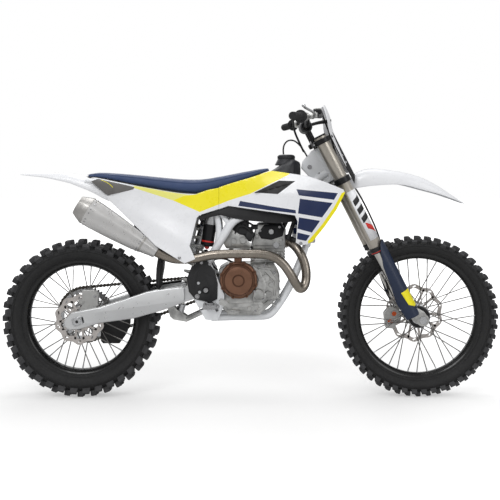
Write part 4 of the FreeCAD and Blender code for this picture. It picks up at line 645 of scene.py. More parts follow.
def brake_disc(name, centre, radius, y, share, body):
    """A brake disc with petals and slots, and the legs that carry it."""
    inner = radius * share
    middle = (radius + inner) / 2
    slot = [(-8, middle - 3), (-3, middle - 5), (8, middle + 1), (8, middle + 3), (3, middle + 5),
        (-8, middle - 1)]
    slots = [turned_places(slot, centre, 2 * math.pi * i / petals) for i in range(petals)]
    band = slab(wavy(centre, radius - 5, 5), y - 1.8, y + 1.8, [wavy(centre, inner, 5)] + slots, 0.3, 1)
    for i in range(petals):
        turn = -1 if i % 2 else 1
        leg = [(-5, 46), (5, 46), (5 + turn * 9, inner + 8), (-5 + turn * 9, inner + 8)]
        leg = turned_places(leg, centre, 2 * math.pi * (i + 0.5) / petals)
        merged(band, slab(leg, y - 1.8, y + 1.8, edge=0.4, segments=1))
    windows = [turned_places([(-7, 34), (7, 34), (9, 45), (-9, 45)], centre, 2 * math.pi * i / 6)
        for i in range(6)]
    merged(band, slab(wavy(centre, 53, 4), y - 3.0, y + 1.6, [circle(centre.x, centre.z, 26.4, 36)] + windows,
        0.5, 1))
    bolt = drum(centre + Vector((0, y - 3.6, 47)), centre + Vector((0, y + 3.6, 47)), 4.6, 6, 0.6)
    piece(name, band, body, disc_steel, [name], angle=25.0)
    piece(name + "_bolts", around(bolt, centre, 6), body, steel, angle=25.0)


disc_y = 66.0
front_rim_radius = 277.0
rear_rim_radius = 253.0
spoke_drop = 26.0
tyre("front_tyre", front_centre, 351, 90, 16, front_rim_radius, 48, "front_wheel")
tyre("rear_tyre", rear_centre, 344, 116, 20, rear_rim_radius, 36, "rear_wheel")
rim("front_rim", front_centre, front_rim_radius, 50, "front_wheel")
rim("rear_rim", rear_centre, rear_rim_radius, 62, "rear_wheel")
wheel_core("front_hub", front_centre, 34, front_rim_radius - spoke_drop, 50, 148, "front_wheel", -1)
wheel_core("rear_hub", rear_centre, 44, rear_rim_radius - spoke_drop, 62, 150, "rear_wheel", 1)
brake_disc("front_disc", front_centre, 130, disc_y, 0.82, "front_wheel")
brake_disc("rear_disc", rear_centre, 110, -disc_y, 0.72, "rear_wheel")

# Drive

front_sprocket = Vector((125, 0, -460))
chain_pitch = 15.875
chain_y = 72.0
chain_links = 112
rear_teeth = 48
front_teeth = 13
link_end = 7.2


def level(angle):
    """The direction at an angle from ahead towards up."""
    return Vector((math.cos(angle), 0, math.sin(angle)))


def pitch_radius(teeth):
    """The radius of the circle through a sprocket's rollers."""
    return chain_pitch / 2 / math.sin(math.pi / teeth)


def toothed(centre, teeth, phase):
    """A sprocket's outline: rounded valleys between blunt teeth."""
    reach = pitch_radius(teeth)
    places = []
    for i in range(teeth):
        for spot, height in ((0.10, -3.6), (0.38, 4.4), (0.62, 4.4), (0.90, -3.6)):
            angle, out = phase + 2 * math.pi * (i + spot) / teeth, reach + height
            places.append((centre.x + out * math.cos(angle), centre.z + out * math.sin(angle)))
    return places


def drive():
    """The chain's links, both sprockets and their bolts."""
    run = front_sprocket - rear_centre
    base = math.atan2(run.z, run.x)
    big, small = pitch_radius(rear_teeth), pitch_radius(front_teeth)
    lean = math.asin((big - small) / run.length)
    stretch = math.sqrt(run.length ** 2 - (big - small) ** 2)
    spans = [stretch, small * (math.pi - 2 * lean), stretch, big * (math.pi + 2 * lean)]
    total = sum(spans)

    def spot(travel):
        """A place on the chain's line."""
        travel %= total
        up, down = base - lean + math.pi / 2, base + lean - math.pi / 2
        if travel < spans[0]:
            return rear_centre + level(up) * big + level(base - lean) * travel
        travel -= spans[0]
        if travel < spans[1]:
            return front_sprocket + level(up - travel / small) * small
        travel -= spans[1]
        if travel < spans[2]:
            return front_sprocket + level(down) * small + level(base + lean + math.pi) * travel
        return rear_centre + level(down - (travel - spans[2]) / big) * big

    outline = []
    arc = [math.pi * i / 6 for i in range(7)]
    for x, start, waist in ((0, math.pi / 2, -4), (chain_pitch, -math.pi / 2, 4)):
        outline += [(x + link_end * math.cos(start + a), link_end * math.sin(start + a)) for a in arc]
        outline.append((chain_pitch * 0.5, waist))
    links = bmesh.new()
    for kind, places, reach, radius in ((0, (5.6, 7.2), 7.9, 2.6), (1, (3.7, 5.3), 3.7, 4.9)):
        link = bmesh.new()
        for side in (-1, 1):
            merged(link, slab(outline, side * places[0], side * places[1]))
        for x in (0, chain_pitch):
            merged(link, cross_drum(x, 0, -reach, reach, radius, 8))
        for i in range(kind, chain_links, 2):
            first, second = spot(total * i / chain_links), spot(total * (i + 1) / chain_links)
            heading = math.atan2(second.z - first.z, second.x - first.x)
            place = Matrix.Translation((first + ACROSS * chain_y) * MM) @ Matrix.Rotation(-heading, 4, "Y")
            merged(links, moved(link.copy(), place))
        link.free()
    piece("drive_chain", links, "chassis", chain_steel, ["drive_chain"], angle=28.0)
    windows = [turned_places([(-20, 62), (20, 62), (31, 96), (-31, 96)], rear_centre, 2 * math.pi * i / 8)
        for i in range(8)]
    sprocket = slab(toothed(rear_centre, rear_teeth, base - lean + math.pi / 2), 69.2, 74.8,
        [circle(rear_centre.x, rear_centre.z, 27, 32)] + windows)
    bolt = drum(rear_centre + Vector((0, 66, 54)), rear_centre + Vector((0, 79, 54)), 6, 6, 0.8)
    around(bolt, rear_centre, 6)
    piece("rear_sprocket", sprocket, "rear_wheel", machined, ["rear_sprocket"], angle=28.0)
    piece("rear_sprocket_bolts", bolt, "rear_wheel", steel, angle=28.0)
    small_sprocket = merged(slab(toothed(front_sprocket, front_teeth, base - lean + math.pi / 2), 68.8, 75.2),
        cross_drum(front_sprocket.x, front_sprocket.z, 57, 78, 17, 24, 1))
    piece("drive_sprocket", small_sprocket, "chassis", steel, ["drive_sprocket"], angle=28.0)


drive()

# Frame


def bolt_heads(name, spots, radius, length, body="chassis"):
    """Hexagon heads on washers: each spot is (x, z, y from, side)."""
    heads = bmesh.new()
    for x, z, y, side in spots:
        merged(heads, cross_drum(x, z, y, y + side * 1.6, radius * 1.35, 20, 0.4),
            cross_drum(x, z, y, y + side * length, radius, 6, 0.8),
            cross_drum(x, z, y + side * length * 0.6, y + side * (length + 0.8), radius * 0.62, 16, 0.5))
    piece(name, heads, body, steel, angle=28.0)


def framed(corner, length, height, shares):
    """Side-view places from shares of a box."""
    return [(corner[0] + length * a, corner[1] + height * b) for a, b in shares]


def chassis_frame():
    """The spars, head, cross tubes, pivot plates, cradle and subframe."""
    head = head_place(56, -14, 14)
    spar = merged(pipe([(62, 82, -350), (92, 84, -296), (128, 87, -234), (158, 88, -184), (196, 86, -160),
        (250, 74, -146), (300, 58, -130), (380, 44, -92), (470, 30, -40), head], 18, 20),
        pipe([(100, 84, -268), (106, 82, -214), (96, 80, -158), (78, 78, -106)], 13, 16),
        pipe([(150, 86, -196), (128, 84, -160), (78, 78, -106)], 11, 12))
    plate = slab(framed((-12, -606), 140, 262,
        [(0.18, 1), (0.56, 1), (1, 0.42), (0.98, 0.24), (0.80, 0), (0.42, 0.02), (0, 0.42), (0, 0.60)]), 85,
        100, [circle(pivot.x, pivot.z, 13, 24), circle(96, -560, 7, 16), circle(30, -556, 6, 16)], edge=2.5)
    merged(spar, plate, slab([(14, 0), (172, 0), (172, -25), (148, -84), (124, -103), (14, -73)], 17.4, 22.8,
        edge=1.4, place=head_place))
    mirrored(spar)
    merged(spar, cross_drum(78, -106, -84, 84, 15, 24, 1.5), cross_drum(300, -130, -58, 58, 12, 20, 1),
        pipe([(78, 0, -106), (190, 0, -117), (300, 0, -130)], 14, 16),
        drum(head_place(14, 0, 0), head_place(172, 0, 0), 28, 40, 2.5),
        cross_drum(70, -592, -84, 84, 13, 20, 1))
    piece("frame_spars", spar, "chassis", frame_paint, ["frame_backbone"], angle=38.0)
    rails = pipe([(486, 8, -288), (470, 22, -334), (446, 42, -394), (424, 46, -446), (396, 46, -498),
        (362, 46, -550), (330, 46, -590), (296, 46, -598), (186, 46, -598), (120, 60, -598), (72, 70, -598)],
        14, 18)
    mirrored(rails)
    merged(rails, drum(head_place(62, -20, 0), (484, 0, -294), 20, 28, 2),
        block((212, 0, -599), (70, 92, 4), 1.5),
        block((474, 0, -322), (10, 60, 26), 3, Matrix.Rotation(math.radians(-20), 4, "Y")))
    piece("frame_rails", rails, "chassis", frame_paint, ["frame_cradle"], angle=38.0)
    loops = merged(pipe([(78, 75, -106), (54, 75, -88), (18, 75, -73.4), (-30, 75, -70), (-76, 75, -66.6),
        (-170, 75, -50), (-264, 75, -35.6), (-350, 75, -19), (-415, 75, -6), (-473, 75, -5.2)], 12, 16),
        pipe([(26, 78, -372), (-120, 76, -202), (-264, 75, -38)], 9.6, 14))
    mirrored(loops)
    merged(loops, cross_drum(-120, -62, -74, 74, 8, 16), cross_drum(-360, -18, -74, 74, 8, 16))
    piece("subframe_loops", loops, "chassis", frame_paint, ["subframe"], angle=38.0)
    spots = []
    for side in (-1, 1):
        for along, ahead in ((62, -46), (112, -70)):
            spot = head_place(along, ahead, 0)
            spots.append((spot.x, spot.z, side * 22.8, side))
        spots += [(49, -474, side * 107.0, side), (30, -356, side * 101, side), (66, -362, side * 101, side),
            (98, -544, side * 100, side), (12, -500, side * 106.5, side)]
    bolt_heads("frame_bolts", spots, 7.5, 6)
    outline = [(30, -318), (46, -318), (58, -352), (88, -392), (100, -446), (98, -512), (68, -527), (2, -512),
        (-24, -480), (-33, -424), (-14, -376), (14, -352)]
    holes = [circle(x, z, 6.5, 14) for x, z in ((17, -443), (22, -482), (58, -492))]
    guards = mirrored(slab(outline, 100.5, 106, holes, edge=2))
    merged(guards, mirrored(slab([(40, -398), (86, -424), (90, -470), (66, -512), (30, -506), (70, -460)],
        105.5, 107.5, edge=1.2)), mirrored(slab([(-14, -424), (6, -382), (26, -366), (12, -402), (-2, -470)],
        105.5, 107.5, edge=1.2)))
    piece("frame_guard_plates", guards, "chassis", plastic_black, ["frame_guards"])
    caps = bmesh.new()
    for side in (-1, 1):
        merged(caps, cross_drum(pivot.x, pivot.z, side * 100, side * 107.5, 17, 28, 2))
    piece("pivot_caps", caps, "chassis", anodised_black)


chassis_frame()

# Bodywork

panel_cell = 11
curve_share = 0.7
surface_xs = (-480, -260, 0, 110, 240, 431, 520, 650)
surface_zs = (-400, -150, -20, 70)
surface_halves = ((96, 92, 84, 76), (156, 106, 98, 90), (168, 120, 100, 92), (132, 122, 104, 94),
    (130, 134, 114, 100), (150, 172, 150, 126), (156, 184, 172, 156), (160, 186, 188, 182))


def between_rows(steps, values, at):
    """A value between rows, along straight runs eased at the rows."""
    at = min(max(at, steps[0]), steps[-1] - 1e-6)
    i = max(n for n in range(len(steps) - 1) if steps[n] <= at)
    share = (at - steps[i]) / (steps[i + 1] - steps[i])
    first, last = values[i], values[i + 1]
    before = values[i - 1] if i else first
    after = values[i + 2] if i + 2 < len(values) else last
    pull, bend = 2 * before - 5 * first + 4 * last - after, 3 * first - before - 3 * last + after
    curve = 0.5 * (2 * first + (last - before) * share + pull * share ** 2 + bend * share ** 3)
    return curve * curve_share + (first + (last - first) * share) * (1 - curve_share)


def surface_half(x, z):
    """How far out the bodywork lies at a side-view place."""
    return between_rows(surface_xs, [between_rows(surface_zs, row, z) for row in surface_halves], x)


def inside(place, region):
    """Whether a side-view place lies within an outline."""
    x, z = place
    found = False
    for i in range(len(region)):
        (ax, az), (bx, bz) = region[i - 1], region[i]
        if (az > z) != (bz > z) and x < (bx - ax) * (z - az) / (bz - az) + ax:
            found = not found
    return found


def bodywork(name, outline, regions, replaces, lift):
    """Panels on both sides, cut along their colour lines and laid on the bodywork's surface."""
    shape = bmesh.new()
    verts = [shape.verts.new(Vector((x, 0, z)) * MM) for x, z in outline]
    shape.faces.new(verts)
    lines = []
    for region, _ in regions:
        lines += [(region[i - 1], region[i]) for i in range(len(region))]
    xs, zs = zip(*outline)
    cuts = [((x, 0, 0), (1, 0, 0)) for x in range(int(min(xs)) + 6, int(max(xs)), panel_cell)]
    cuts += [((0, 0, z), (0, 0, 1)) for z in range(int(min(zs)) + 6, int(max(zs)), panel_cell)]
    for place, normal in cuts:
        cut(shape, Vector(place), normal)
    for (ax, az), (bx, bz) in lines:
        low, high = (min(ax, bx) - 1, min(az, bz) - 1), (max(ax, bx) + 1, max(az, bz) + 1)
        faces = [f for f in shape.faces if overlaps_box(f, low, high)]
        geom = set(faces)
        for face in faces:
            geom.update(face.edges)
            geom.update(face.verts)
        if geom:
            cut(shape, Vector((ax, 0, az)), Vector((bz - az, 0, ax - bx)).normalized(), list(geom))
    for face in shape.faces:
        middle = face.calc_center_median() / MM
        for number, (region, _) in enumerate(regions):
            if inside((middle.x, middle.z), region):
                face.material_index = number + 1
    for vert in shape.verts:
        x, z = vert.co.x / MM, vert.co.z / MM
        vert.co.y = -(surface_half(x, z) + lift(x, z)) * MM
    item = piece(name, mirrored(facing(shape, -ACROSS)), "chassis", panel_white, replaces,
        angle=32.0, wall=3.6)
    for _, material in regions:
        item.data.materials.append(material)
    item.modifiers["wall"].use_even_offset = True
    edged(item, 0.9, 2, 50)


def overlaps_box(face, low, high):
    """Whether a face reaches into a side-view box."""
    xs = [v.co.x / MM for v in face.verts]
    zs = [v.co.z / MM for v in face.verts]
    return max(xs) >= low[0] and min(xs) <= high[0] and max(zs) >= low[1] and min(zs) <= high[1]


def ridge(line, height, width):
    """A soft ridge's height near a side-view line."""
    (ax, az), (bx, bz) = line
    run = math.hypot(bx - ax, bz - az)
    ux, uz = (bx - ax) / run, (bz - az) / run

    def rise(x, z):
        along = (x - ax) * ux + (z - az) * uz
        away = abs((x - ax) * uz - (z - az) * ux)
        fade = min(1.0, max(0.0, min(along + 20, run + 20 - along) / 40))
        return height * fade * max(0.0, 1 - away / width)

    return rise


shroud_outline = [(105.5, -126), (105.5, -33), (150, -18), (182.7, -8), (238, 8), (323.2, 36), (331.2, 38),
    (432.8, 22.9), (484.9, 15), (560, -12), (630.1, -41.1), (636, -54.9), (600, -126), (552, -196),
    (501.9, -260), (478, -272), (450.9, -277), (431.2, -265), (438.1, -174.9), (426.9, -150.1), (145, -112)]
stripe_yellow = [(660, -60), (612, -126), (564, -196), (510, -268), (484, -292), (482, -258), (540, -188),
    (588, -118), (622, -56), (634, -50)]
shroud_yellow = [(90, -112.5), (153, -87.5), (240, -60), (312, -24), (404.6, 22), (420, 50), (300, 60),
    (90, 0)]
shroud_vent = [(256.9, -54.9), (361.2, -4), (429.9, -6), (355.3, -61.2)]
navy_blocks = [[(196, -91), (330, -113), (430, -128), (432, -142), (320, -130), (188, -112)],
    [(434, -40), (606, -56), (590, -84), (444, -66)], [(448, -80), (584, -97), (540, -158), (440, -142)],
    [(444, -158), (532, -172), (498, -222), (438, -206)],
    [(438, -222), (490, -234), (474, -258), (436, -250)]]
panel_outline = [(-388, -70.4), (-162.5, -280.6), (-52, -345.8), (-38, -353), (7, -335.1), (-18, -279.7),
    (-13.5, -265.6), (11.5, -162.3), (23.5, -151.2), (104.5, -125), (104.5, -35.2), (58.5, -44), (3, -63.5),
    (-25, -65.5), (-116.5, -51.8), (-254, -27), (-370.5, -48.2)]
panel_band = [(120, -100.3), (23.5, -138.2), (-91, -89.3), (-45, -70), (14, -64), (40, -30), (120, -20)]
panel_band_rear = [(-91, -89.3), (-265, -34), (-250, -10), (-20, -30), (40, -30), (14, -64), (-45, -70)]


def dress():
    """The radiator shrouds and the side panels with their colours."""
    crown = ridge(((300, -60), (620, -60)), 5, 70)
    fold = ridge(((455, -262), (560, -90)), 4, 46)
    bodywork("shroud_panels", shroud_outline,
        [(shroud_yellow, panel_yellow), (stripe_yellow, panel_yellow), (shroud_vent, plastic_black)]
        + [(region, panel_navy) for region in navy_blocks], ["shrouds"], lambda x,
        z: crown(x, z) + fold(x, z) - 3.0)
    rear_fold = ridge(((-300, -110), (10, -290)), 5, 60)
    bodywork("side_panel_shells", panel_outline, [(panel_band, panel_yellow), (panel_band_rear, pale_yellow)],
        ["side_panels"], lambda x, z: rear_fold(x, z) - 2.0)
    cover = slab([(18, -160), (30, -150), (80, -137), (105, -128), (146, -116), (428, -154), (430, -178),
        (400, -183), (350, -187), (212, -174), (150, -162), (112, -152), (60, -162), (24, -178)], 103, 109,
        edge=2)
    inlet = slab([(-444, -8), (-416, 4), (-257, -32), (-262, -42), (-366, -66), (-382, -62)], 88, 99, edge=3)
    line = pipe([(-400, 99, -2), (-368, 99.5, -12), (-350, 99, -34)], 1.2, 6)
    flap = slab([(-163, -340), (-138, -340), (-142, -395), (-150, -438), (-150, -472), (-171, -472),
        (-172, -430), (-170, -386)], -46, 46, edge=3)
    piece("mud_flap", flap, "chassis", plastic_black)
    piece("shroud_lower_covers", mirrored(cover), "chassis", plastic_black)
    piece("rear_inlet_covers", mirrored(inlet), "chassis", inlet_dark)
    piece("rear_inlet_lines", mirrored(line), "chassis", panel_yellow)
    slats = bmesh.new()
    for i in range(5):
        share = (i + 0.6) / 5.2
        x = 262 + 150 * share
        z = -52 + 44 * share
        merged(slats, block((x, -surface_half(x, z - 6) - 1.0, z - 6), (42, 3, 4), 1,
            Matrix.Rotation(math.radians(-8), 4, "Y") @ Matrix.Rotation(math.radians(9), 4, "Z")))
    mirrored(slats)
    piece("shroud_louvres", slats, "chassis", plastic_black)
    spots = []
    for x, z in ((452, -268), (-372, -62), (-60, -330)):
        y = surface_half(x, z) + 0.6
        spots += [(x, z, -y, -1), (x, z, y, 1)]
    bolt_heads("panel_bolts", spots, 5, 3)


dress()

# Seat, tank, fenders and number plate


def rounded_section(x, top, bottom, half, crown):
    """One section of a padded or blown form: a flat base, full sides and a crowned top."""
    depth = top - bottom
    right = [(0, bottom), (half * 0.62, bottom), (half * 0.90, bottom + depth * 0.04),
        (half, bottom + depth * 0.30), (half * 0.97, bottom + depth * 0.58),
        (half * 0.90, top - depth * 0.22), (half * 0.76, top - depth * 0.07),
        (half * 0.48, top + crown * 0.6), (0, top + crown)]
    left = [(-y, z) for y, z in right[-2:0:-1]]
    return [Vector((x, y, z)) for y, z in right + left]


def stations(xs, *rows, count=3):
    """Stations with smooth ones between them."""
    found = []
    for i in range(len(xs) - 1):
        for n in range(count):
            x = xs[i] + (xs[i + 1] - xs[i]) * n / count
            found.append((x, *[between_rows(xs, row, x) for row in rows]))
    found.append((xs[-1], *[row[-1] for row in rows]))
    return found


seat_xs = (-471, -415, -264, -76, 18, 89, 238, 321)
seat_tops = (22, 28, 17.5, -0.5, -2.5, 7.5, 35.5, 48)
seat_bottoms = (10, 6, -24, -55, -62, -50, 2, 38)
seat_halves = (40, 62, 84, 88, 84, 74, 58, 40)


def seat():
    """The long seat with its cover, base edge and sewn line."""
    rows = stations(seat_xs, seat_tops, seat_bottoms, seat_halves)
    sections = [rounded_section(x, top, bottom, half, 2.6)
        for x, top, bottom, half in stations(seat_xs, seat_tops, seat_bottoms, seat_halves, count=4)]
    body = lofted(sections)
    cushion = piece("seat_cushion", body, "chassis", seat_navy, ["seat"], angle=60.0, rounds=2)
    seams = bmesh.new()
    for side in (-1, 1):
        line = [Vector((x, side * half * 0.885, top - (top - bottom) * 0.20))
            for x, top, bottom, half in rows]
        merged(seams, pipe(line, 1.1, 6, steps=4))
    piece("seat_seams", seams, "chassis", seat_navy, angle=60.0)
    edge = bmesh.new()
    for side in (-1, 1):
        line = [Vector((x, side * half * 0.93, bottom + 2.0)) for x, top, bottom, half in rows]
        merged(edge, pipe(line, 2.4, 8, steps=4))
    piece("seat_base_edge", edge, "chassis", plastic_black, angle=60.0)


seat()

cap_x = 398
tank_xs = (112, 240, 330, 420, 461)
tank_tops = (-66, -8, 38, 92, 76)
tank_bottoms = (-88, -100.7, -84, -39.9, 0)
tank_halves = (60, 88, 96, 92, 48)


def tank():
    """The tank with its filler cap and neck."""
    sections = [rounded_section(x, top - 3, bottom, half, 2)
        for x, top, bottom, half in stations(tank_xs, tank_tops, tank_bottoms, tank_halves, count=4)]
    piece("tank_shell", lofted(sections), "chassis", tank_grey, ["fuel_tank"], angle=60.0,
        rounds=1)
    neck = drum((cap_x, 0, 62), (cap_x, 0, 92), 50, 40, 3, end_radius=38)
    piece("tank_neck", neck, "chassis", tank_grey)
    cap = turned([(0, 0), (35, 0), (37.5, 2), (37.5, 13), (35, 17), (26, 20), (0, 20)], (cap_x, 0, 89.5), UP,
        48, closed=False)
    grip = block((cap_x + 37, 0, 97), (3.6, 5, 12), 1)
    around(grip, Vector((cap_x, 0, 98)), 20, UP)
    piece("tank_cap", cap, "chassis", tank_grey)
    piece("tank_cap_grips", grip, "chassis", tank_grey)


tank()


def fender_row(x, top, bottom, half, crease):
    """One arched section of a fender: drawn-down sides, shoulders and a raised middle."""
    drop = top - bottom
    right = [(half, bottom), (half * 0.985, bottom + drop * 0.30), (half * 0.90, top - drop * 0.34),
        (half * 0.72, top - drop * 0.10), (half * 0.50, top - 1.0), (half * 0.30, top - crease), (0, top)]
    return [Vector((x, y, z)) for y, z in right] + [Vector((x, -y, z)) for y, z in right[-2::-1]]


def fender(name, rows, body, crease, replaces):
    """A fender's shell from its sections."""
    shape = draped([fender_row(*row, crease) for row in rows], UP)
    item = piece(name, shape, body, panel_white, replaces, angle=50.0, rounds=2, wall=3.4)
    item.modifiers["wall"].use_even_offset = True
    # The inner shell takes the darker grey: painted shade on the fender's underside.
    item.modifiers["wall"].material_offset = 1
    item.data.materials.append(fender_underside_painted_shade)


rear_fender_rows = stations((-774, -650, -543, -474, -430, -362), (26, 31, 27, 12, 0, -16),
    (20, 8, -15, -41, -61, -98), (40, 62, 78, 88, 89, 90))
fender("rear_fender_shell", [(-771, 24.5, 21.5, 28)] + rear_fender_rows[1:], "chassis", 2, ["rear_fender"])
front_fender_rows = stations((634, 672, 700, 747, 809, 898, 988, 1060, 1125, 1181),
    (-22, -4, 29, 48, 48, 36, 12, -26, -70, -103), (-54, -46, -38, -30, -24, -22, -46, -64, -86, -107),
    (40, 52, 60, 66, 74, 76, 72, 64, 52, 26), count=2)
fender("front_fender_shell", front_fender_rows, "steering", 3, ["front_fender"])
fender_bolts = bmesh.new()
for y in (30, -30):
    merged(fender_bolts, drum((690, y, 17), (690, y, 25), 6.5, 6, 0.8))
piece("front_fender_bolts", fender_bolts, "steering", steel, angle=28.0)


def number_plate():
    """The blank front plate, wrapped round the fork, with its straps."""
    rows = ((8, 87, 70), (40, 88, 84), (74, 88, 96), (140, 90, 108), (206, 92, 118), (232, 99, 116),
        (254, 108, 112), (292, 113, 92), (326, 114, 62))
    shares = [i / 6 - 1 for i in range(13)]
    shape = draped([[head_place(along, ahead - half * 0.22 * abs(share) ** 2.4, half * share)
        for share in shares] for along, ahead, half in rows], Vector((1, 0, 0)))
    piece("number_plate_shell", shape, "steering", panel_white, ["number_plate"], angle=50.0,
        rounds=2, wall=3.6)
    straps = bmesh.new()
    for side in (-1, 1):
        merged(straps, drum(head_place(189, 60, side * 106), head_place(189, 72, side * 106), 7, 20, 1),
            pipe([head_place(250, 102, side * 60), head_place(268, 70, side * 52),
            head_place(276, 12, side * 40)], 6, 10))
    merged(straps, slab([(648, 66), (678, 84), (870, 84), (906, 80), (904, 68), (860, 64)], -84, -76,
        [circle(884 - 34 * i, 74, 5, 12) for i in range(5)], edge=1.5, place=fork_place))
    piece("number_plate_straps", straps, "steering", plastic_black)


number_plate()

# Fork, clamps and front brake


def leg_patch(profile, side, first, last, steps, lean=0.0):
    """Part of a sleeve about a leg, from (radius, along) places, between angles from ahead to outside."""
    centre = fork_place(0, leg_lead, side * leg_half)
    start = math.radians(side * first)
    out = fork_ahead * math.cos(start) + ACROSS * math.sin(start)
    shape = bmesh.new()
    verts, edges = strand(shape, [centre + fork_up * a + out * r for r, a in profile])
    bmesh.ops.spin(shape, geom=verts + edges, cent=centre * MM, axis=fork_up,
        angle=math.radians(side * (last - first)), steps=steps)
    for vert in shape.verts:
        away = vert.co / MM - centre
        angle = math.degrees(math.atan2(side * away.dot(ACROSS), away.dot(fork_ahead)))
        vert.co += fork_up * ((angle - first) * lean * MM)
    return shape


def fork():
    """Both legs: outer tubes, seals, sliders, axle feet and the painted bars on the right tube."""
    tubes, seals, sliders, feet, caps = (bmesh.new() for _ in range(5))
    for side in (-1, 1):
        y = side * leg_half
        foot = fork_place(0, leg_lead, y)
        merged(tubes, turned([(24.5, 368), (27.5, 368), (29, 371), (29, 480), (28.4, 482), (28.4, 656),
            (29, 658), (29, 880), (27.5, 882), (27.5, 894), (24.5, 894)], foot, fork_up, 56))
        merged(caps, turned([(0, 894), (26, 894), (26, 899), (23.5, 902), (14, 902), (13, 898), (0, 898)],
            foot, fork_up, 48, closed=False))
        merged(seals, turned([(24.2, 342), (30, 342), (31, 344), (31, 350), (29.6, 352), (29.6, 357),
            (31, 359), (31, 366), (29.5, 368), (24.2, 368)], foot, fork_up, 48))
        merged(sliders, drum(fork_place(60, leg_lead, y), fork_place(380, leg_lead, y), 24, 48))
        low, high = (82, 128) if side > 0 else (-128, -82)
        outline = [(88, leg_lead - 25), (88, leg_lead + 25), (58, 58), (30, 78)]
        outline += [(27 * math.cos(math.radians(a)), 57 + 27 * math.sin(math.radians(a)))
            for a in range(60, 271, 18)]
        outline += [(26, 16), (48, leg_lead - 25)]
        merged(feet, slab(outline, low, high, [circle(0, 57, 12.3, 28)], edge=3, place=fork_place),
            drum(fork_place(44, leg_lead, y), fork_place(94, leg_lead, y), 26.5, 40, 2.5))
    dust = turned([(24.4, 346), (31.6, 346.5), (31.6, 349.5), (24.4, 350)],
        fork_place(0, leg_lead, -leg_half), fork_up, 48)
    piece("fork_outer_tubes", tubes, "steering", fork_silver, ["fork_tubes"])
    piece("fork_caps", caps, "steering", anodised_black)
    piece("fork_seals", seals, "steering", plastic_black)
    piece("fork_seal_ring", dust, "steering", accent_red)
    piece("fork_inner_tubes", sliders, "steering", slider_chrome, ["fork_sliders"])
    piece("fork_feet", feet, "steering", cast_metal)
    ground = leg_patch([(29.3, 404), (29.3, 632)], -1, -24, 112, 22)
    bars = bmesh.new()
    for low in (500, 540, 580):
        merged(bars, leg_patch([(29.7, low), (29.7, low + 25)], -1, 22, 96, 14, -0.22))
    slash = leg_patch([(29.7, 424), (29.7, 452)], -1, 8, 84, 14, 0.42)
    for name, shape, material in (("fork_ground", ground, panel_white), ("fork_bars", bars, plastic_black),
            ("fork_slash", slash, accent_red)):
        item = piece(name, shape, "steering", material, angle=40.0, wall=0.4)
        item.modifiers["wall"].offset = 0.0


fork()


def clamp_plate(along, depth):
    """One triple clamp: a ring about each leg, the pinch bolts' lugs and the bridge to the stem."""
    low, high = along - depth / 2, along + depth / 2
    plate = bmesh.new()
    for side in (-1, 1):
        foot = fork_place(0, leg_lead, side * leg_half)
        merged(plate, turned([(29.1, low), (36, low), (38, low + 2.5), (38, high - 2.5), (36, high),
            (29.1, high)], foot, fork_up, 48))
    merged(plate, turned([(15, low), (30, low), (33, low + 3), (33, high - 3), (30, high), (15, high)],
        fork_place(0, 0, 0), fork_up, 40))
    outline = [(-24, -20), (-14, -70), (-4, -84), (26, -78), (52, -80), (44, -50), (18, -22), (14, 0)]
    outline = outline + [(a, -y) for a, y in outline[-2::-1]]
    bridge = lofted([[fork_place(height, a, y) for a, y in outline] for height in (low + 1.5, high - 1.5)])
    merged(plate, softened(bridge, 2))
    for side in (-1, 1):
        for lift in (-0.25, 0.25) if depth > 24 else (0,):
            at = fork_place(along + depth * lift, leg_lead - 40, side * leg_half)
            merged(plate, drum(at - ACROSS * 16, at + ACROSS * 16, 6.5, 16, 1.2))
    return plate


def clamps():
    """Both clamps, the stem, its nut, the pinch bolts and the bar mounts."""
    whole = merged(clamp_plate(fork_length, 26), clamp_plate(upper_clamp, 22),
        drum(fork_place(fork_length - 16, 0, 0), fork_place(upper_clamp + 20, 0, 0), 15, 32, 2))
    piece("clamp_pair", whole, "steering", anodised_black, ["triple_clamps"])
    nut = drum(fork_place(upper_clamp + 10, 0, 0), fork_place(upper_clamp + 22, 0, 0), 19, 6, 2)
    bolts = bmesh.new()
    for along, lifts in ((fork_length, (-6.5, 6.5)), (upper_clamp, (0,))):
        for side in (-1, 1):
            for lift in lifts:
                at = fork_place(along + lift, leg_lead - 40, side * leg_half)
                merged(bolts, drum(at + ACROSS * side * 15, at + ACROSS * side * 19, 5.2, 6, 0.8))
    merged(nut, bolts)
    piece("clamp_bolts", nut, "steering", steel, angle=28.0)
    mounts = bmesh.new()
    tilt = Matrix.Rotation(-rake, 4, "Y")
    for side in (-1, 1):
        y = side * 48
        merged(mounts, drum(fork_place(upper_clamp + 8, -6, y), fork_place(bar_height - 16, -6, y), 11, 28,
            1.5), block(fork_place(bar_height - 6, -6, y), (38, 24, 22), 3, tilt),
            block(fork_place(bar_height + 9, -6, y), (38, 24, 12), 4, tilt))
    piece("bar_mounts", mounts, "steering", anodised_black)


clamps()


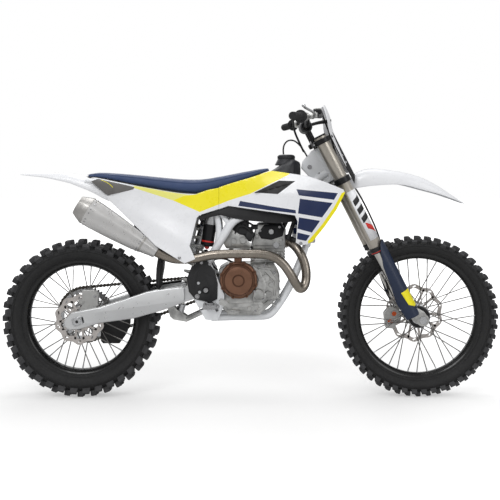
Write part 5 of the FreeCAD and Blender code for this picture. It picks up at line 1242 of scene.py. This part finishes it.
def fork_guards():
    """The blue guard over each slider's front and outside, with its yellow corner."""
    outline = [(34, -4), (116, -11), (200, 0), (283, 8), (351, 29), (378, 44), (384, 60), (346, 70),
        (240, 70), (150, 70), (66, 70), (32, 51)]
    corner = [(150, 24), (150, 80), (76, 80), (72, 52), (91, 30)]
    shells, patches = bmesh.new(), bmesh.new()
    for side in (-1, 1):
        for target, reach, region in ((shells, 39.6, outline), (patches, 41.2, corner)):
            sheet = leg_patch([(reach, -4 + 10 * i) for i in range(41)], side, -58, 158, 27)
            for i in range(len(region)):
                first, second = fork_place(*region[i - 1], 0), fork_place(*region[i], 0)
                cut(sheet, first, (second - first).cross(ACROSS).normalized())
            gone = []
            for face in sheet.faces:
                middle = face.calc_center_median() / MM - steer_foot
                if (not inside((middle.dot(fork_up), middle.dot(fork_ahead)), region)
                        or side * middle.y < leg_half - 16 and middle.dot(fork_ahead) < leg_lead):
                    gone.append(face)
            bmesh.ops.delete(sheet, geom=gone, context="FACES")
            merged(target, sheet)
    for name, shape, material, wall in (("fork_guard_shells", shells, guard_blue, 2.6),
            ("fork_guard_patches", patches, panel_yellow, 0.6)):
        item = piece(name, shape, "steering", material, ["fork_guards"] if wall > 1 else (),
            angle=40.0, wall=wall)
        item.modifiers["wall"].offset = 0.0


fork_guards()


def front_brake():
    """The front caliper's piston caps and bolts, and the axle's pinch bolts."""
    caps, rims = bmesh.new(), bmesh.new()
    cx, cz = front_centre.x - 138, front_centre.z - 68
    for x, z in ((cx + 26, cz + 34), (cx + 44, cz + 68)):
        merged(rims, cross_drum(x, z, 46, 42.6, 15, 32, 1.2))
        merged(caps, cross_drum(x, z, 43, 40.6, 10.5, 28, 1))
        merged(rims, cross_drum(x, z, 82, 86, 15, 32, 1.2))
        merged(caps, cross_drum(x, z, 85, 88, 10.5, 28, 1))
    piece("front_caliper_rims", rims, "steering", caliper_metal)
    piece("front_caliper_caps", caps, "steering", cap_orange)
    bolt_heads("front_caliper_bolts", [(cx + 78, cz + 46, 95, 1), (cx + 62, cz + 84, 95, 1)], 6, 6,
        "steering")
    bolts = bmesh.new()
    for side in (-1, 1):
        for shift in (-10, 10):
            at = fork_place(-22, 57, side * (105 + shift))
            merged(bolts, drum(at, at - fork_up * 8, 5, 6, 0.8))
    piece("axle_pinch_bolts", bolts, "steering", steel, angle=28.0)


front_brake()

# Handlebar and controls


def bar_point(y):
    """A point on the bar's outer stretch."""
    centre = fork_place(bar_height, -6, 0)
    share = (abs(y) - 190.0) / (400.0 - 190.0)
    return Vector((centre.x - 5 - 71 * share, y, centre.z + 33 - 10 * share))


def handlebar():
    """The bar, its grips with ribs, the pad and the controls at both ends."""
    centre = fork_place(bar_height, -6, 0)
    half = [centre + ACROSS * 30, centre + ACROSS * 75, centre + Vector((0, 112, 6)),
        centre + Vector((-2, 150, 24)), bar_point(190), bar_point(240), bar_point(320), bar_point(400)]
    points = [Vector((p.x, -p.y, p.z)) for p in half[::-1]] + half
    bar = merged(pipe(points, 11, 24), cross_drum(centre.x, centre.z, -74, 74, 14, 32, 3))
    piece("handlebar_tube", bar, "steering", anodised_black, ["handlebar"])
    pad = turned([(15, -72), (22, -72), (26.5, -68), (27.5, -56), (27.5, 56), (26.5, 68), (22, 72), (15, 72)],
        (centre.x, 0, centre.z), ACROSS, 40)
    cover = piece("bar_pad_cover", pad, "steering", pad_cover, ["bar_pad"], angle=60.0, rounds=1)
    rubbers = bmesh.new()
    for side in (-1, 1):
        start, end = bar_point(side * 290), bar_point(side * 400)
        along = (end - start).normalized()
        profile = [(11.2, 0), (27, 0), (27, 3), (25, 5), (18.5, 6.5), (16.4, 9)]
        for i in range(14):
            base = 14 + i * 7
            profile += [(15.4, base), (16.5, base + 1.2), (16.5, base + 4.4), (15.4, base + 5.6)]
        run = (end - start).length
        profile += [(16.5, run - 4), (16.5, run + 2), (14.5, run + 5), (0, run + 5)]
        merged(rubbers, turned(profile, start, along, 36, closed=False))
    piece("grip_rubbers", rubbers, "steering", grip_rubber, ["grips"])
    perches, levers, masters, caps = (bmesh.new() for _ in range(4))
    for side in (-1, 1):
        inner, outer = bar_point(side * 219), bar_point(side * 245)
        along = (outer - inner).normalized()
        ahead = (Vector((1, 0, 0)) - along * along.x).normalized()
        merged(perches, drum(inner, outer, 19, 28, 2.5))
        middle = (inner + outer) * 0.5
        turn = pointing(ahead)
        merged(perches, block(middle + ahead * 24 + UP * 2, (20, 24, 34), 4, turn))
        hinge = middle + ahead * 46 + UP * 6
        merged(perches, drum(hinge - UP * 11, hinge + UP * 11, 10, 24, 1.5),
            drum(hinge - UP * 13, hinge + UP * 14, 4, 12, 1))
        tip = hinge + along * 166 + UP * 34
        route = [hinge, hinge + along * 26 + ahead * 6 + UP * 4, hinge + along * 60 + ahead * 2 + UP * 14,
            hinge + along * 110 - ahead * 12 + UP * 26, tip - ahead * 10 - along * 12, tip - ahead * 5]
        merged(levers, pipe(route, 5.2, 12), drum(tip - ahead * 5 - UP * 5, tip - ahead * 5 + UP * 5, 7.5, 20,
            2.5))
        if side < 0:
            back = -along
            start = hinge + back * 10
            merged(masters, drum(start, start + back * 78, 12, 28, 3),
                block(hinge + back * 42 + UP * 15 + ahead * -2, (34, 46, 20), 5))
            merged(caps, block(hinge + back * 42 + UP * 26 + ahead * -2, (32, 44, 5), 2))
            merged(masters, drum(start + back * 74, start + back * 84, 7, 6, 1))
        else:
            merged(perches, drum(hinge - along * 30, hinge - along * 6, 7, 16, 1.5))
    piece("lever_perches", perches, "steering", cast_metal, ["hand_controls"])
    piece("hand_levers", levers, "steering", machined, angle=40.0)
    piece("brake_master", masters, "steering", anodised_black)
    piece("brake_master_cap", caps, "steering", cast_metal)
    inner, outer = bar_point(-260), bar_point(-284)
    housing = merged(drum(inner, outer, 21.5, 32, 2.5),
        block((inner + outer) * 0.5 + Vector((-14, 0, 4)), (26, 20, 26), 5))
    piece("throttle_housing", housing, "steering", plastic_black)


handlebar()

# Engine and exhaust


def engine():
    """The crankcase, cylinder, head, covers and their ribs, bolts and hoses."""
    corner = (104, -585)
    case = [(0, 0.90), (0, 0.20), (0.16, 0), (0.66, 0), (1, 0.36), (1, 0.80), (0.90, 1), (0.14, 1)]
    whole = merged(slab(framed(corner, 262, 222, case), -80, 55, edge=7, segments=3),
        slab(framed((168, -580), 196, 212, [(0, 0.92), (0, 0.1), (0.12, 0), (0.62, 0), (1, 0.36), (1, 0.80),
        (0.88, 1), (0.1, 1)]), 50, 82, edge=7, segments=3),
        slab([(118, -392), (118, -520), (150, -560), (262, -570), (316, -548), (350, -500), (352, -430),
        (312, -366), (150, -366)], -84, -76, edge=3))
    for x, z, lean in ((300, -372, 62), (322, -392, 50), (340, -416, 34), (352, -444, 14), (354, -474, -4),
            (350, -506, -24), (334, -536, -44)):
        rib = block((x, -50, z), (34, 62, 5), 1.6, Matrix.Rotation(-math.radians(lean), 4, "Y"))
        merged(whole, rib)
    for x in (140, 168, 196, 224, 252, 280):
        merged(whole, block((x, -40, -578), (5, 84, 10), 1.6))
    piece("crankcase_casting", whole, "chassis", cast_metal, ["crankcase"], angle=32.0)
    head = slab([(240, -363), (378, -363), (392, -288), (394, -216), (382, -193), (270, -193), (246, -272)],
        -56, 56, edge=6, segments=3)
    for i in range(6):
        z = -352 + i * 13
        merged(head, block((316, 0, z), (152, 112, 4.4), 1.2))
    for hx, hz in ((268, -246), (296, -300), (340, -318), (372, -262), (250, -340)):
        merged(head, cross_drum(hx, hz, -56, -63, 9, 20, 2))
    for i in range(7):
        merged(head, block((262 + i * 19, -57, -334), (5, 8, 40), 1.2))
    for cx, cz, size in ((306, -420, 15), (330, -452, 12), (318, -494, 16), (286, -540, 13), (236, -556, 10),
            (150, -548, 12)):
        merged(head, cross_drum(cx, cz, -82, -90, size, 24, 2))
    for start, end in (((300, -400), (340, -440)), ((340, -440), (344, -500)), ((320, -520), (270, -562)),
            ((196, -566), (140, -560)), ((270, -380), (330, -384))):
        merged(head, drum(side_place(*start, -84), side_place(*end, -84), 5, 10, 1))
    cover = slab([(272, -232), (300, -196), (372, -192), (388, -214), (380, -246), (330, -262), (286, -256)],
        -60, -50, edge=3)
    piece("cylinder_block", head, "chassis", cast_metal, ["cylinder_head"], angle=32.0)
    merged(cover, slab([(268, -206), (384, -206), (378, -191), (276, -191)], -54, 54, edge=3))
    piece("head_cover", cover, "chassis", anodised_black, angle=32.0)
    plug = merged(cross_drum(330, -226, -60, -66, 12, 24, 2), cross_drum(352, -284, -56, -64, 15, 28, 2))
    piece("head_plugs", plug, "chassis", machined)
    x, z = 189, -430
    clutch = turned([(0, -84.5), (80, -84.5), (80, -104), (77, -108), (73, -110), (70, -110), (68, -114),
        (68, -122), (65, -127), (60, -130), (20, -132.4), (0, -132.5)], (x, 0, z), ACROSS, 72, closed=False)
    screws = spread_about(x, z, 75, 8, 0.4)
    for sx, sz in screws:
        merged(clutch, cross_drum(sx, sz, -84.5, -113, 8.5, 24, 2))
    merged(clutch, cross_drum(x - 2, z + 88, -84.5, -108, 17, 32, 3))
    piece("clutch_cover", clutch, "chassis", bronze, ["engine_covers"])
    face = merged(turned([(58, -130.2), (60, -131.2), (61.5, -130.6), (63, -128.8)], (x, 0, z), ACROSS, 72),
        turned([(20, -132.3), (22, -132.9), (26, -132.7), (27, -131.9)], (x, 0, z), ACROSS, 48))
    pump = merged(cross_drum(x + 86, z - 62, -98, -112, 24, 36, 3),
        slab([(x + 56, z + 66), (x + 92, z + 40), (x + 122, z - 26), (x + 108, z - 80), (x + 58, z - 96),
        (x + 64, z - 60), (x + 86, z)], -98, -84, edge=4),
        slab([(x + 70, z - 50), (x + 118, z - 58), (x + 122, z - 84), (x + 90, z - 98), (x + 68, z - 78)],
        -104, -84, edge=3), cross_drum(x + 118, z + 6, -84, -96, 17, 32, 2.5))
    piece("water_pump_cover", pump, "chassis", cast_metal)
    for sx, sz in screws:
        merged(face, cross_drum(sx, sz, -112.6, -116, 4.4, 6, 0.6))
    piece("clutch_cover_rings", face, "chassis", bronze_dark)
    spots = [(sx, sz, -84, -1) for sx, sz in ((124, -540), (160, -566), (262, -566), (330, -520), (344, -400),
        (300, -368), (140, -370))]
    spots += [(x + 68, z - 48, -112, -1), (x + 106, z - 82, -104, -1), (282, -222, -60, -1),
        (366, -206, -60, -1)]
    bolt_heads("engine_bolts", spots, 4.2, 4)
    ignition = (205, -470)
    left = merged(cross_drum(*ignition, 82, 113, 62, 64, 5), cross_drum(*ignition, 110, 113.2, 22, 32, 1.5),
        slab([(150, -420), (170, -392), (250, -400), (272, -440), (276, -510), (240, -548), (170, -548),
        (142, -510)], 82, 96, edge=4))
    piece("ignition_cover", left, "chassis", bronze)
    marks = spread_about(*ignition, 53, 6)
    bolt_heads("ignition_bolts", [(sx, sz, 111, 1) for sx, sz in marks], 4.2, 4)
    mount = merged(slab([(110, -250), (160, -215), (196, -238), (212, -240), (244, -284), (237, -302),
        (135, -298)], -74, -44, edge=3), cross_drum(168, -266, -74, -77, 13, 24, 1.5),
        cross_drum(150, -284, -74, -78, 7, 16, 1.5), cross_drum(208, -262, -62, -82, 15, 28, 2))
    piece("engine_mount_casting", mount, "chassis", cast_metal, angle=32.0)
    hoses = merged(pipe([(98, -58, -392), (70, -62, -372), (78, -66, -346), (118, -66, -340),
        (156, -62, -352), (170, -56, -366)], 4.2, 10),
        pipe([(118, -40, -330), (150, -66, -300), (206, -70, -284), (250, -62, -296)], 5, 10),
        pipe([(250, -62, -236), (230, -76, -206), (196, -78, -196), (176, -72, -214), (172, -66, -250)], 6,
        12))
    piece("engine_hoses", hoses, "chassis", hose_black, angle=40.0)
    body = merged(block((206, 0, -236), (74, 56, 52), 8), drum((152, 0, -238), (252, 0, -234), 26, 36, 3),
        cross_drum(204, -226, -52, 52, 10, 20, 2), block((206, -44, -232), (44, 22, 40), 5))
    piece("throttle_body_casting", body, "chassis", cast_metal, ["throttle_body"],
        angle=32.0)
    covers = merged(block((222, -58, -226), (46, 10, 34), 4), block((192, -34, -208), (84, 64, 66), 9),
        cross_drum(214, -196, -72, 20, 15, 28, 3),
        block((236, -62, -244), (34, 12, 44), 4, Matrix.Rotation(math.radians(24), 4, "Y")),
        pipe([(160, -70, -190), (186, -74, -176), (232, -72, -182), (262, -62, -206)], 5, 10),
        block((258, -50, -206), (30, 16, 22), 4))
    piece("throttle_body_covers", covers, "chassis", plastic_black, angle=32.0)


engine()


def exhaust():
    """The header pipe with its weld rings, and the silencer with its end cap, outlet and rivets."""
    route = [side_place(x, z, y) for x, z, y in ((394, -268, -12), (420, -276, -28), (448, -304, -58),
        (470, -346, -72), (481, -392, -80), (480, -436, -86), (468, -464, -98), (450, -468, -110),
        (434, -444, -122), (414, -408, -129), (386, -364, -131), (350, -332, -131), (300, -316, -130),
        (230, -315, -130), (140, -316, -131), (70, -320, -130), (0, -337, -127), (-74, -341, -119),
        (-118, -330, -122), (-160, -309, -126))]
    piece("header_pipe", pipe(route, 19.8, 32, steps=8), "chassis", header_steel,
        ["exhaust_header"], angle=60.0)
    rings = bmesh.new()
    for first, second in ((3, 4), (10, 11), (14, 15), (16, 17)):
        middle = (route[first] + route[second]) * 0.5
        along = (route[second] - route[first]).normalized()
        merged(rings, turned([(18, -3), (20.6, -1.4), (20.6, 1.4), (18, 3)], middle, along, 40))
    flange = turned([(18, -5), (29, -5), (30, -3), (30, 3), (29, 5), (18, 5)], (402, -14, -270),
        Vector((0.9, -0.35, -0.2)).normalized(), 40)
    merged(rings, flange)
    piece("header_rings", rings, "chassis", header_steel)
    front, rear = side_place(-162, -311, -126), side_place(-452, -133, -126)
    along = (rear - front).normalized()
    upward = Vector((-along.z, 0, along.x))
    if upward.z < 0:
        upward = -upward
    length = (rear - front).length

    def section(distance, height, width):
        """One eight-sided section of the silencer."""
        centre = front + along * distance
        corner = 0.42
        corners = [(1, corner), (corner, 1), (-corner, 1), (-1, corner), (-1, -corner), (-corner, -1),
            (corner, -1), (1, -corner)]
        places = [(ax + (bx - ax) * share, ab + (bb - ab) * share)
            for (ax, ab), (bx, bb) in zip(corners, corners[1:] + corners[:1]) for share in (0.12, 0.5, 0.88)]
        return [centre + ACROSS * (a * width / 2) + upward * (b * height / 2) for a, b in places]

    can = lofted([section(0, 46, 46), section(length * 0.06, 50, 50), section(length * 0.20, 68, 64),
        section(length * 0.30, 82, 74), section(length * 0.60, 103, 84), section(length * 0.88, 116, 91),
        section(length, 116, 91)])
    piece("silencer_can", can, "chassis", silencer_metal, ["silencer"], angle=24.0)
    cap = merged(lofted([section(length - 2, 118, 92), section(length + 4, 118, 92),
        section(length + 30, 98, 78), section(length + 50, 80, 62)]),
        lofted([section(length * 0.19, 69, 65), section(length * 0.215, 73, 68)]))
    piece("silencer_cap", cap, "chassis", cap_metal, angle=24.0)
    outlet = drum(rear + along * 44, rear + along * 51.5, 20, 32, 2)
    piece("silencer_outlet", outlet, "chassis", anodised_black)
    rivets = bmesh.new()
    for share, height, width in ((0.96, 117, 91.5), (0.235, 75, 69)):
        places = section(length * share, height, width)
        middle = front + along * (length * share)
        for place in places[1::3] + places[0::3]:
            out = (place - middle).normalized()
            merged(rivets, drum(place - out * 1.5, place + out * 1.6, 3.2, 12, 0.9))
    piece("silencer_rivets", rivets, "chassis", steel)


exhaust()


def cooling():
    """Both radiators with cores, fins, tanks, hoses and a stay."""
    tanks, cores, fins = (bmesh.new() for _ in range(3))
    low, high = side_place(500, -266, 97), side_place(498, -70, 97)
    merged(cores, block((low + high) * 0.5, (28, 96, 160), 2))
    merged(tanks, block(high - UP * 10, (31, 104, 24), 6), block(low + UP * 10, (31, 104, 24), 6))
    for i in range(26):
        merged(fins, block((499.5, 97, -236 + i * 5.6), (31, 98, 1.6), 0.4))
    for side in (-1, 1):
        merged(tanks, block((499, 97 + side * 50, -168), (30, 4, 170), 1.5))
    mirrored(tanks)
    mirrored(cores)
    mirrored(fins)
    piece("radiator_cores", cores, "chassis", core_black, ["radiators"])
    piece("radiator_fins", fins, "chassis", core_black)
    piece("radiator_tanks", tanks, "chassis", cast_metal)
    hoses = merged(pipe([(494, -60, -262), (474, -56, -272), (440, -48, -268), (404, -40, -252),
        (388, -36, -250)], 11, 20), pipe([(486, -52, -84), (458, -44, -92), (420, -34, -130),
        (392, -26, -190), (380, -20, -216)], 11, 20),
        pipe([(500, -50, -226), (502, 0, -232), (500, 50, -226)], 9, 18))
    piece("coolant_hoses", hoses, "chassis", hose_black, angle=40.0)
    strut = merged(drum((436, -62, -160), (402, -62, -262), 9, 20, 2),
        block((428, -62, -150), (30, 16, 26), 4))
    piece("radiator_stay", strut, "chassis", plastic_black)


cooling()

# Rear suspension and foot controls


def coil(start, end, radius, wire, turns):
    """A spring's wire."""
    along = (end - start).normalized()
    out = along.orthogonal().normalized()
    side = along.cross(out)
    run = (end - start).length
    points = []
    total = int(turns * 12)
    for i in range(total + 1):
        angle = 2 * math.pi * i / 12
        points.append(start + along * (run * i / total)
            + (out * math.cos(angle) + side * math.sin(angle)) * radius)
    return pipe(points, wire, 10, steps=2)


def shock():
    """The shock's spring, body, reservoir and adjusters."""
    top, foot = side_place(58, -140, 0), arm_place(142, -81, 0)
    along = (foot - top).normalized()
    run = (foot - top).length
    spring = coil(top + along * 84, top + along * (run - 92), 32.5, 5.5, 7.5)
    piece("shock_spring", spring, "chassis", spring_white, ["shock_absorber"], angle=60.0)
    body = merged(drum(top + along * 10, top + along * 170, 24, 40, 3),
        cross_drum(top.x, top.z, -16, 16, 15, 28, 2), drum(top + along * (run - 40), foot, 16, 28, 2),
        cross_drum(foot.x, foot.z, -14, 14, 15, 28, 2),
        drum(top + along * (run - 96), top + along * (run - 82), 37, 40, 3),
        drum(top + along * 66, top + along * 84, 37, 40, 3))
    piece("shock_body", body, "chassis", machined)
    shaft = drum(top + along * 160, top + along * (run - 30), 8, 24)
    piece("shock_shaft", shaft, "chassis", slider_chrome)
    can_top = side_place(76, -114, -54)
    can_foot = side_place(52, -288, -54)
    can = merged(drum(can_top, can_foot, 28, 40, 5), block((62, -26, -142), (34, 40, 30), 5))
    piece("shock_reservoir", can, "chassis", anodised_black)
    sleeve = drum(can_top + (can_foot - can_top) * 0.24, can_top + (can_foot - can_top) * 0.46, 28.5, 40, 0.8)
    piece("shock_reservoir_sleeve", sleeve, "chassis", machined)
    knobs = merged(cross_drum(52, -292, -66, -44, 10, 24, 2),
        drum(can_top + (can_foot - can_top) * 0.86, can_top + (can_foot - can_top) * 0.90, 28.6, 40, 0.8),
        cross_drum(60, -120, -62, -30, 8, 20, 1.5))
    piece("shock_adjusters", knobs, "chassis", accent_red)


shock()


def arms():
    """The swingarm's two box arms, its bridge, axle blocks, adjusters, chain slider and bolts."""
    tops = [(1.10, 0.025), (1.03, 0.074), (0.93, 0.070), (0.81, 0.064), (0.62, 0.078), (0.44, 0.094),
        (0.30, 0.084), (0.20, 0.071), (0.155, 0.064)]
    lows = [(0.18, -0.051), (0.35, -0.073), (0.58, -0.085), (0.84, -0.058), (1.00, -0.062), (1.08, -0.05),
        (1.10, -0.02)]
    outline = [(arm_length * a, arm_length * b) for a, b in tops + lows]
    slot = [(arm_length + 20, -12.4), (arm_length + 20, 12.4), (arm_length - 26, 12.4),
        (arm_length - 26, -12.4)]
    whole = slab(outline, 82, 113.5, [slot], edge=5, segments=4, place=arm_place)
    first, second = arm_place(496, 20, 0), arm_place(168, -12, 0)
    away = (second - first).cross(ACROSS).normalized()
    away = -away if away.z < 0 else away
    cut(whole, first, away)
    for vert in whole.verts:
        above = (vert.co / MM - first).dot(away)
        if vert.co.y / MM > 100 and (pivot - vert.co / MM).dot(arm_along) < arm_length - 40:
            vert.co.y -= (0.14 * max(0.0, above) + 0.40 * max(0.0, -above)) * MM
    neck = [(-4, -22), (0, 24), (60, 30), (120, 33), (192, 38), (192, -35), (166, -35), (80, -30)]
    merged(whole, slab(neck, 34, 84, edge=5, segments=3, place=arm_place))
    mirrored(whole)
    merged(whole, slab([(192, -35), (166, -35), (166, 38), (192, 38)], -84, 84, edge=4, place=arm_place),
        cross_drum(pivot.x, pivot.z, -84, 84, 25, 36, 2))
    piece("swingarm_casting", whole, "chassis", arm_metal, ["swingarm"], angle=24.0)
    blocks = bmesh.new()
    for side in (-1, 1):
        merged(blocks, slab([(arm_length - 22, -17), (arm_length - 22, 17), (arm_length + 20, 17),
            (arm_length + 20, -17)], side * 112, side * 118, [circle(arm_length, 0, 12.4, 28)], edge=1.4,
            place=arm_place))
        start = arm_place(arm_length + 38, 0, side * 97)
        merged(blocks, drum(start, start - arm_along * 26, 4.2, 16, 0.6),
            drum(start - arm_along * 6, start - arm_along * 14, 7.5, 6, 0.8))
    merged(blocks, turned([(8, -123.5), (16, -123.5), (17.5, -122), (17.5, -117), (8, -117)], rear_centre,
        ACROSS, 36))
    # A black plug just inside the hollow axle's end: painted shade in the bore.
    piece("axle_bore_painted_shade", cross_drum(rear_centre.x, rear_centre.z, -121.5, -112, 8.2, 24), "chassis",
        plastic_black)
    merged(blocks, cross_drum(rear_centre.x, rear_centre.z, 115, 123, 19, 6, 1.5),
        turned([(6.5, -122.8), (12, -122.8), (12, 122.8), (6.5, 122.8)], rear_centre, ACROSS, 32))
    piece("axle_blocks", blocks, "chassis", machined, ["rear_axle"])
    slider = merged(slab([(arm_length * a, arm_length * b + c)
        for a, b, c in ((0.60, 0.081, -2), (0.44, 0.094, -2), (0.20, 0.071, -2), (0.20, 0.071, 7.6),
        (0.44, 0.094, 7.6), (0.60, 0.081, 7.6))], 80, 112, edge=2, place=arm_place),
        slab([(96, 34), (96, 52), (20, 46), (14, 30), (30, 24)], 58, 84, edge=2, place=arm_place))
    piece("chain_slider_strip", slider, "chassis", plastic_black, ["chain_slider"])
    guide = [arm_place(behind, above, 0) for behind, above in ((400, -78), (410, -110), (470, -150))]
    bolt_heads("arm_bolts", [(p.x, p.z, 87, 1) for p in guide], 5, 4)


arms()


def foot_controls():
    """The footrests' teeth and return springs."""
    teeth = bmesh.new()
    for side in (-1, 1):
        spots = [(x, 138 + i * 9) for x in (46, 90) for i in range(9)] + [(52 + i * 8, 208) for i in range(5)]
        for x, y in spots:
            merged(teeth, drum((x, side * y, -525), (x, side * y, -519), 3.4, 4, end_radius=1.2))
    piece("footrest_teeth", teeth, "chassis", steel, angle=20.0)
    springs = bmesh.new()
    for side in (-1, 1):
        merged(springs, coil(Vector((40, side * 116, -536)), Vector((96, side * 116, -536)), 9, 1.8, 7))
    piece("footrest_springs", springs, "chassis", steel, angle=60.0)


foot_controls()

# Hoses and cables


def line(name, route, radius, body, length, node):
    """A hose or cable that runs from one piece of the bike into another."""
    item = bpy.data.objects.new(name, route_curve(name, route, radius))
    bpy.context.scene.collection.objects.link(item)
    item.data.materials.append(hose_black)
    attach(item, body)
    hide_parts(node)


def hoses():
    """The brake hose, the throttle cable and the tank's vent hose."""
    middle = (bar_point(-219) + bar_point(-245)) * 0.5
    along = (bar_point(-245) - bar_point(-219)).normalized()
    start = middle + Vector((46, 0, 26)) - along * 90.3
    route = [start, start - along * 12]
    route += [head_place(a, n, y) for a, n, y in ((279, 75, -90), (194, 74, -20), (94, 62, 50), (4, 58, 74),
        (-86, 86, 104))]
    route += [fork_place(a, n, y) for a, n, y in ((400, 82, 104), (320, 60, 77), (180, 8, 77), (78, -18, 77))]
    line("brake_hose", route, 4.0, "steering", 1.010, "front_brake_hose")
    inner, outer = bar_point(-260), bar_point(-284)
    behind = UP.cross(inner - outer).normalized()
    start = (inner + outer) * 0.5 + behind * 20.6
    route = [start, start + behind * 18]
    route += [head_place(a, n, y) for a, n, y in ((289, -66, -150), (244, -66, -84), (184, -64, -42))]
    line("throttle_wire", route, 4.5, "steering", 0.284, "throttle_cable")
    route = [Vector((cap_x + x, 0, 110 + z)) for x, z in ((-12, 0.8), (-16, 30), (2, 62), (34, 64), (62, 40),
        (92, -6), (112, -50))]
    line("vent_hose", route, 3.5, "chassis", 0.232, "tank_vent_hose")


hoses()


def rear_brake():
    """The rear caliper's piston caps, rim and bolts."""
    low, high = (Vector(corner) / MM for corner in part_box("rear_caliper"))
    middle, size = (low + high) / 2, high - low
    rims = bmesh.new()
    for x, z in ((-0.20, 0.18), (0.20, -0.02)):
        merged(rims, cross_drum(middle.x + x * size.x, middle.z + z * size.z, low.y + 2, low.y - 4, 13, 28,
            1.5), cross_drum(middle.x + x * size.x, middle.z + z * size.z, low.y - 3, low.y - 6, 8, 24, 1))
    merged(rims, block((middle.x, low.y - 1, middle.z - size.z * 0.34), (size.x * 0.8, 6, 8), 2))
    piece("rear_caliper_rims", rims, "chassis", caliper_metal)
    bolt_heads("rear_caliper_bolts", [(middle.x - size.x * 0.36, middle.z - size.z * 0.22, low.y, -1),
        (middle.x + size.x * 0.38, middle.z + size.z * 0.34, low.y, -1)], 5, 5)


rear_brake()

carried_finishes = {"airbox": (plastic_black, 6), "shock_linkage": (cast_metal, 1.6),
    "front_axle": (machined, 1), "chain_guide": (plastic_black, 1.6), "footpegs": (steel, 1.4),
    "foot_levers": (cast_metal, 1.6), "front_caliper": (caliper_metal, 4), "rear_caliper": (caliper_metal, 3)}


def carried_over():
    """The CAD pieces that keep their shape, with rounded edges and their own finish."""
    for name, (material, width) in carried_finishes.items():
        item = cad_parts[name]
        item.data.materials.clear()
        item.data.materials.append(material)
        item.modifiers.new("join", "WELD").merge_threshold = 1e-5
        edged(item, width, 3, 28)


carried_over()
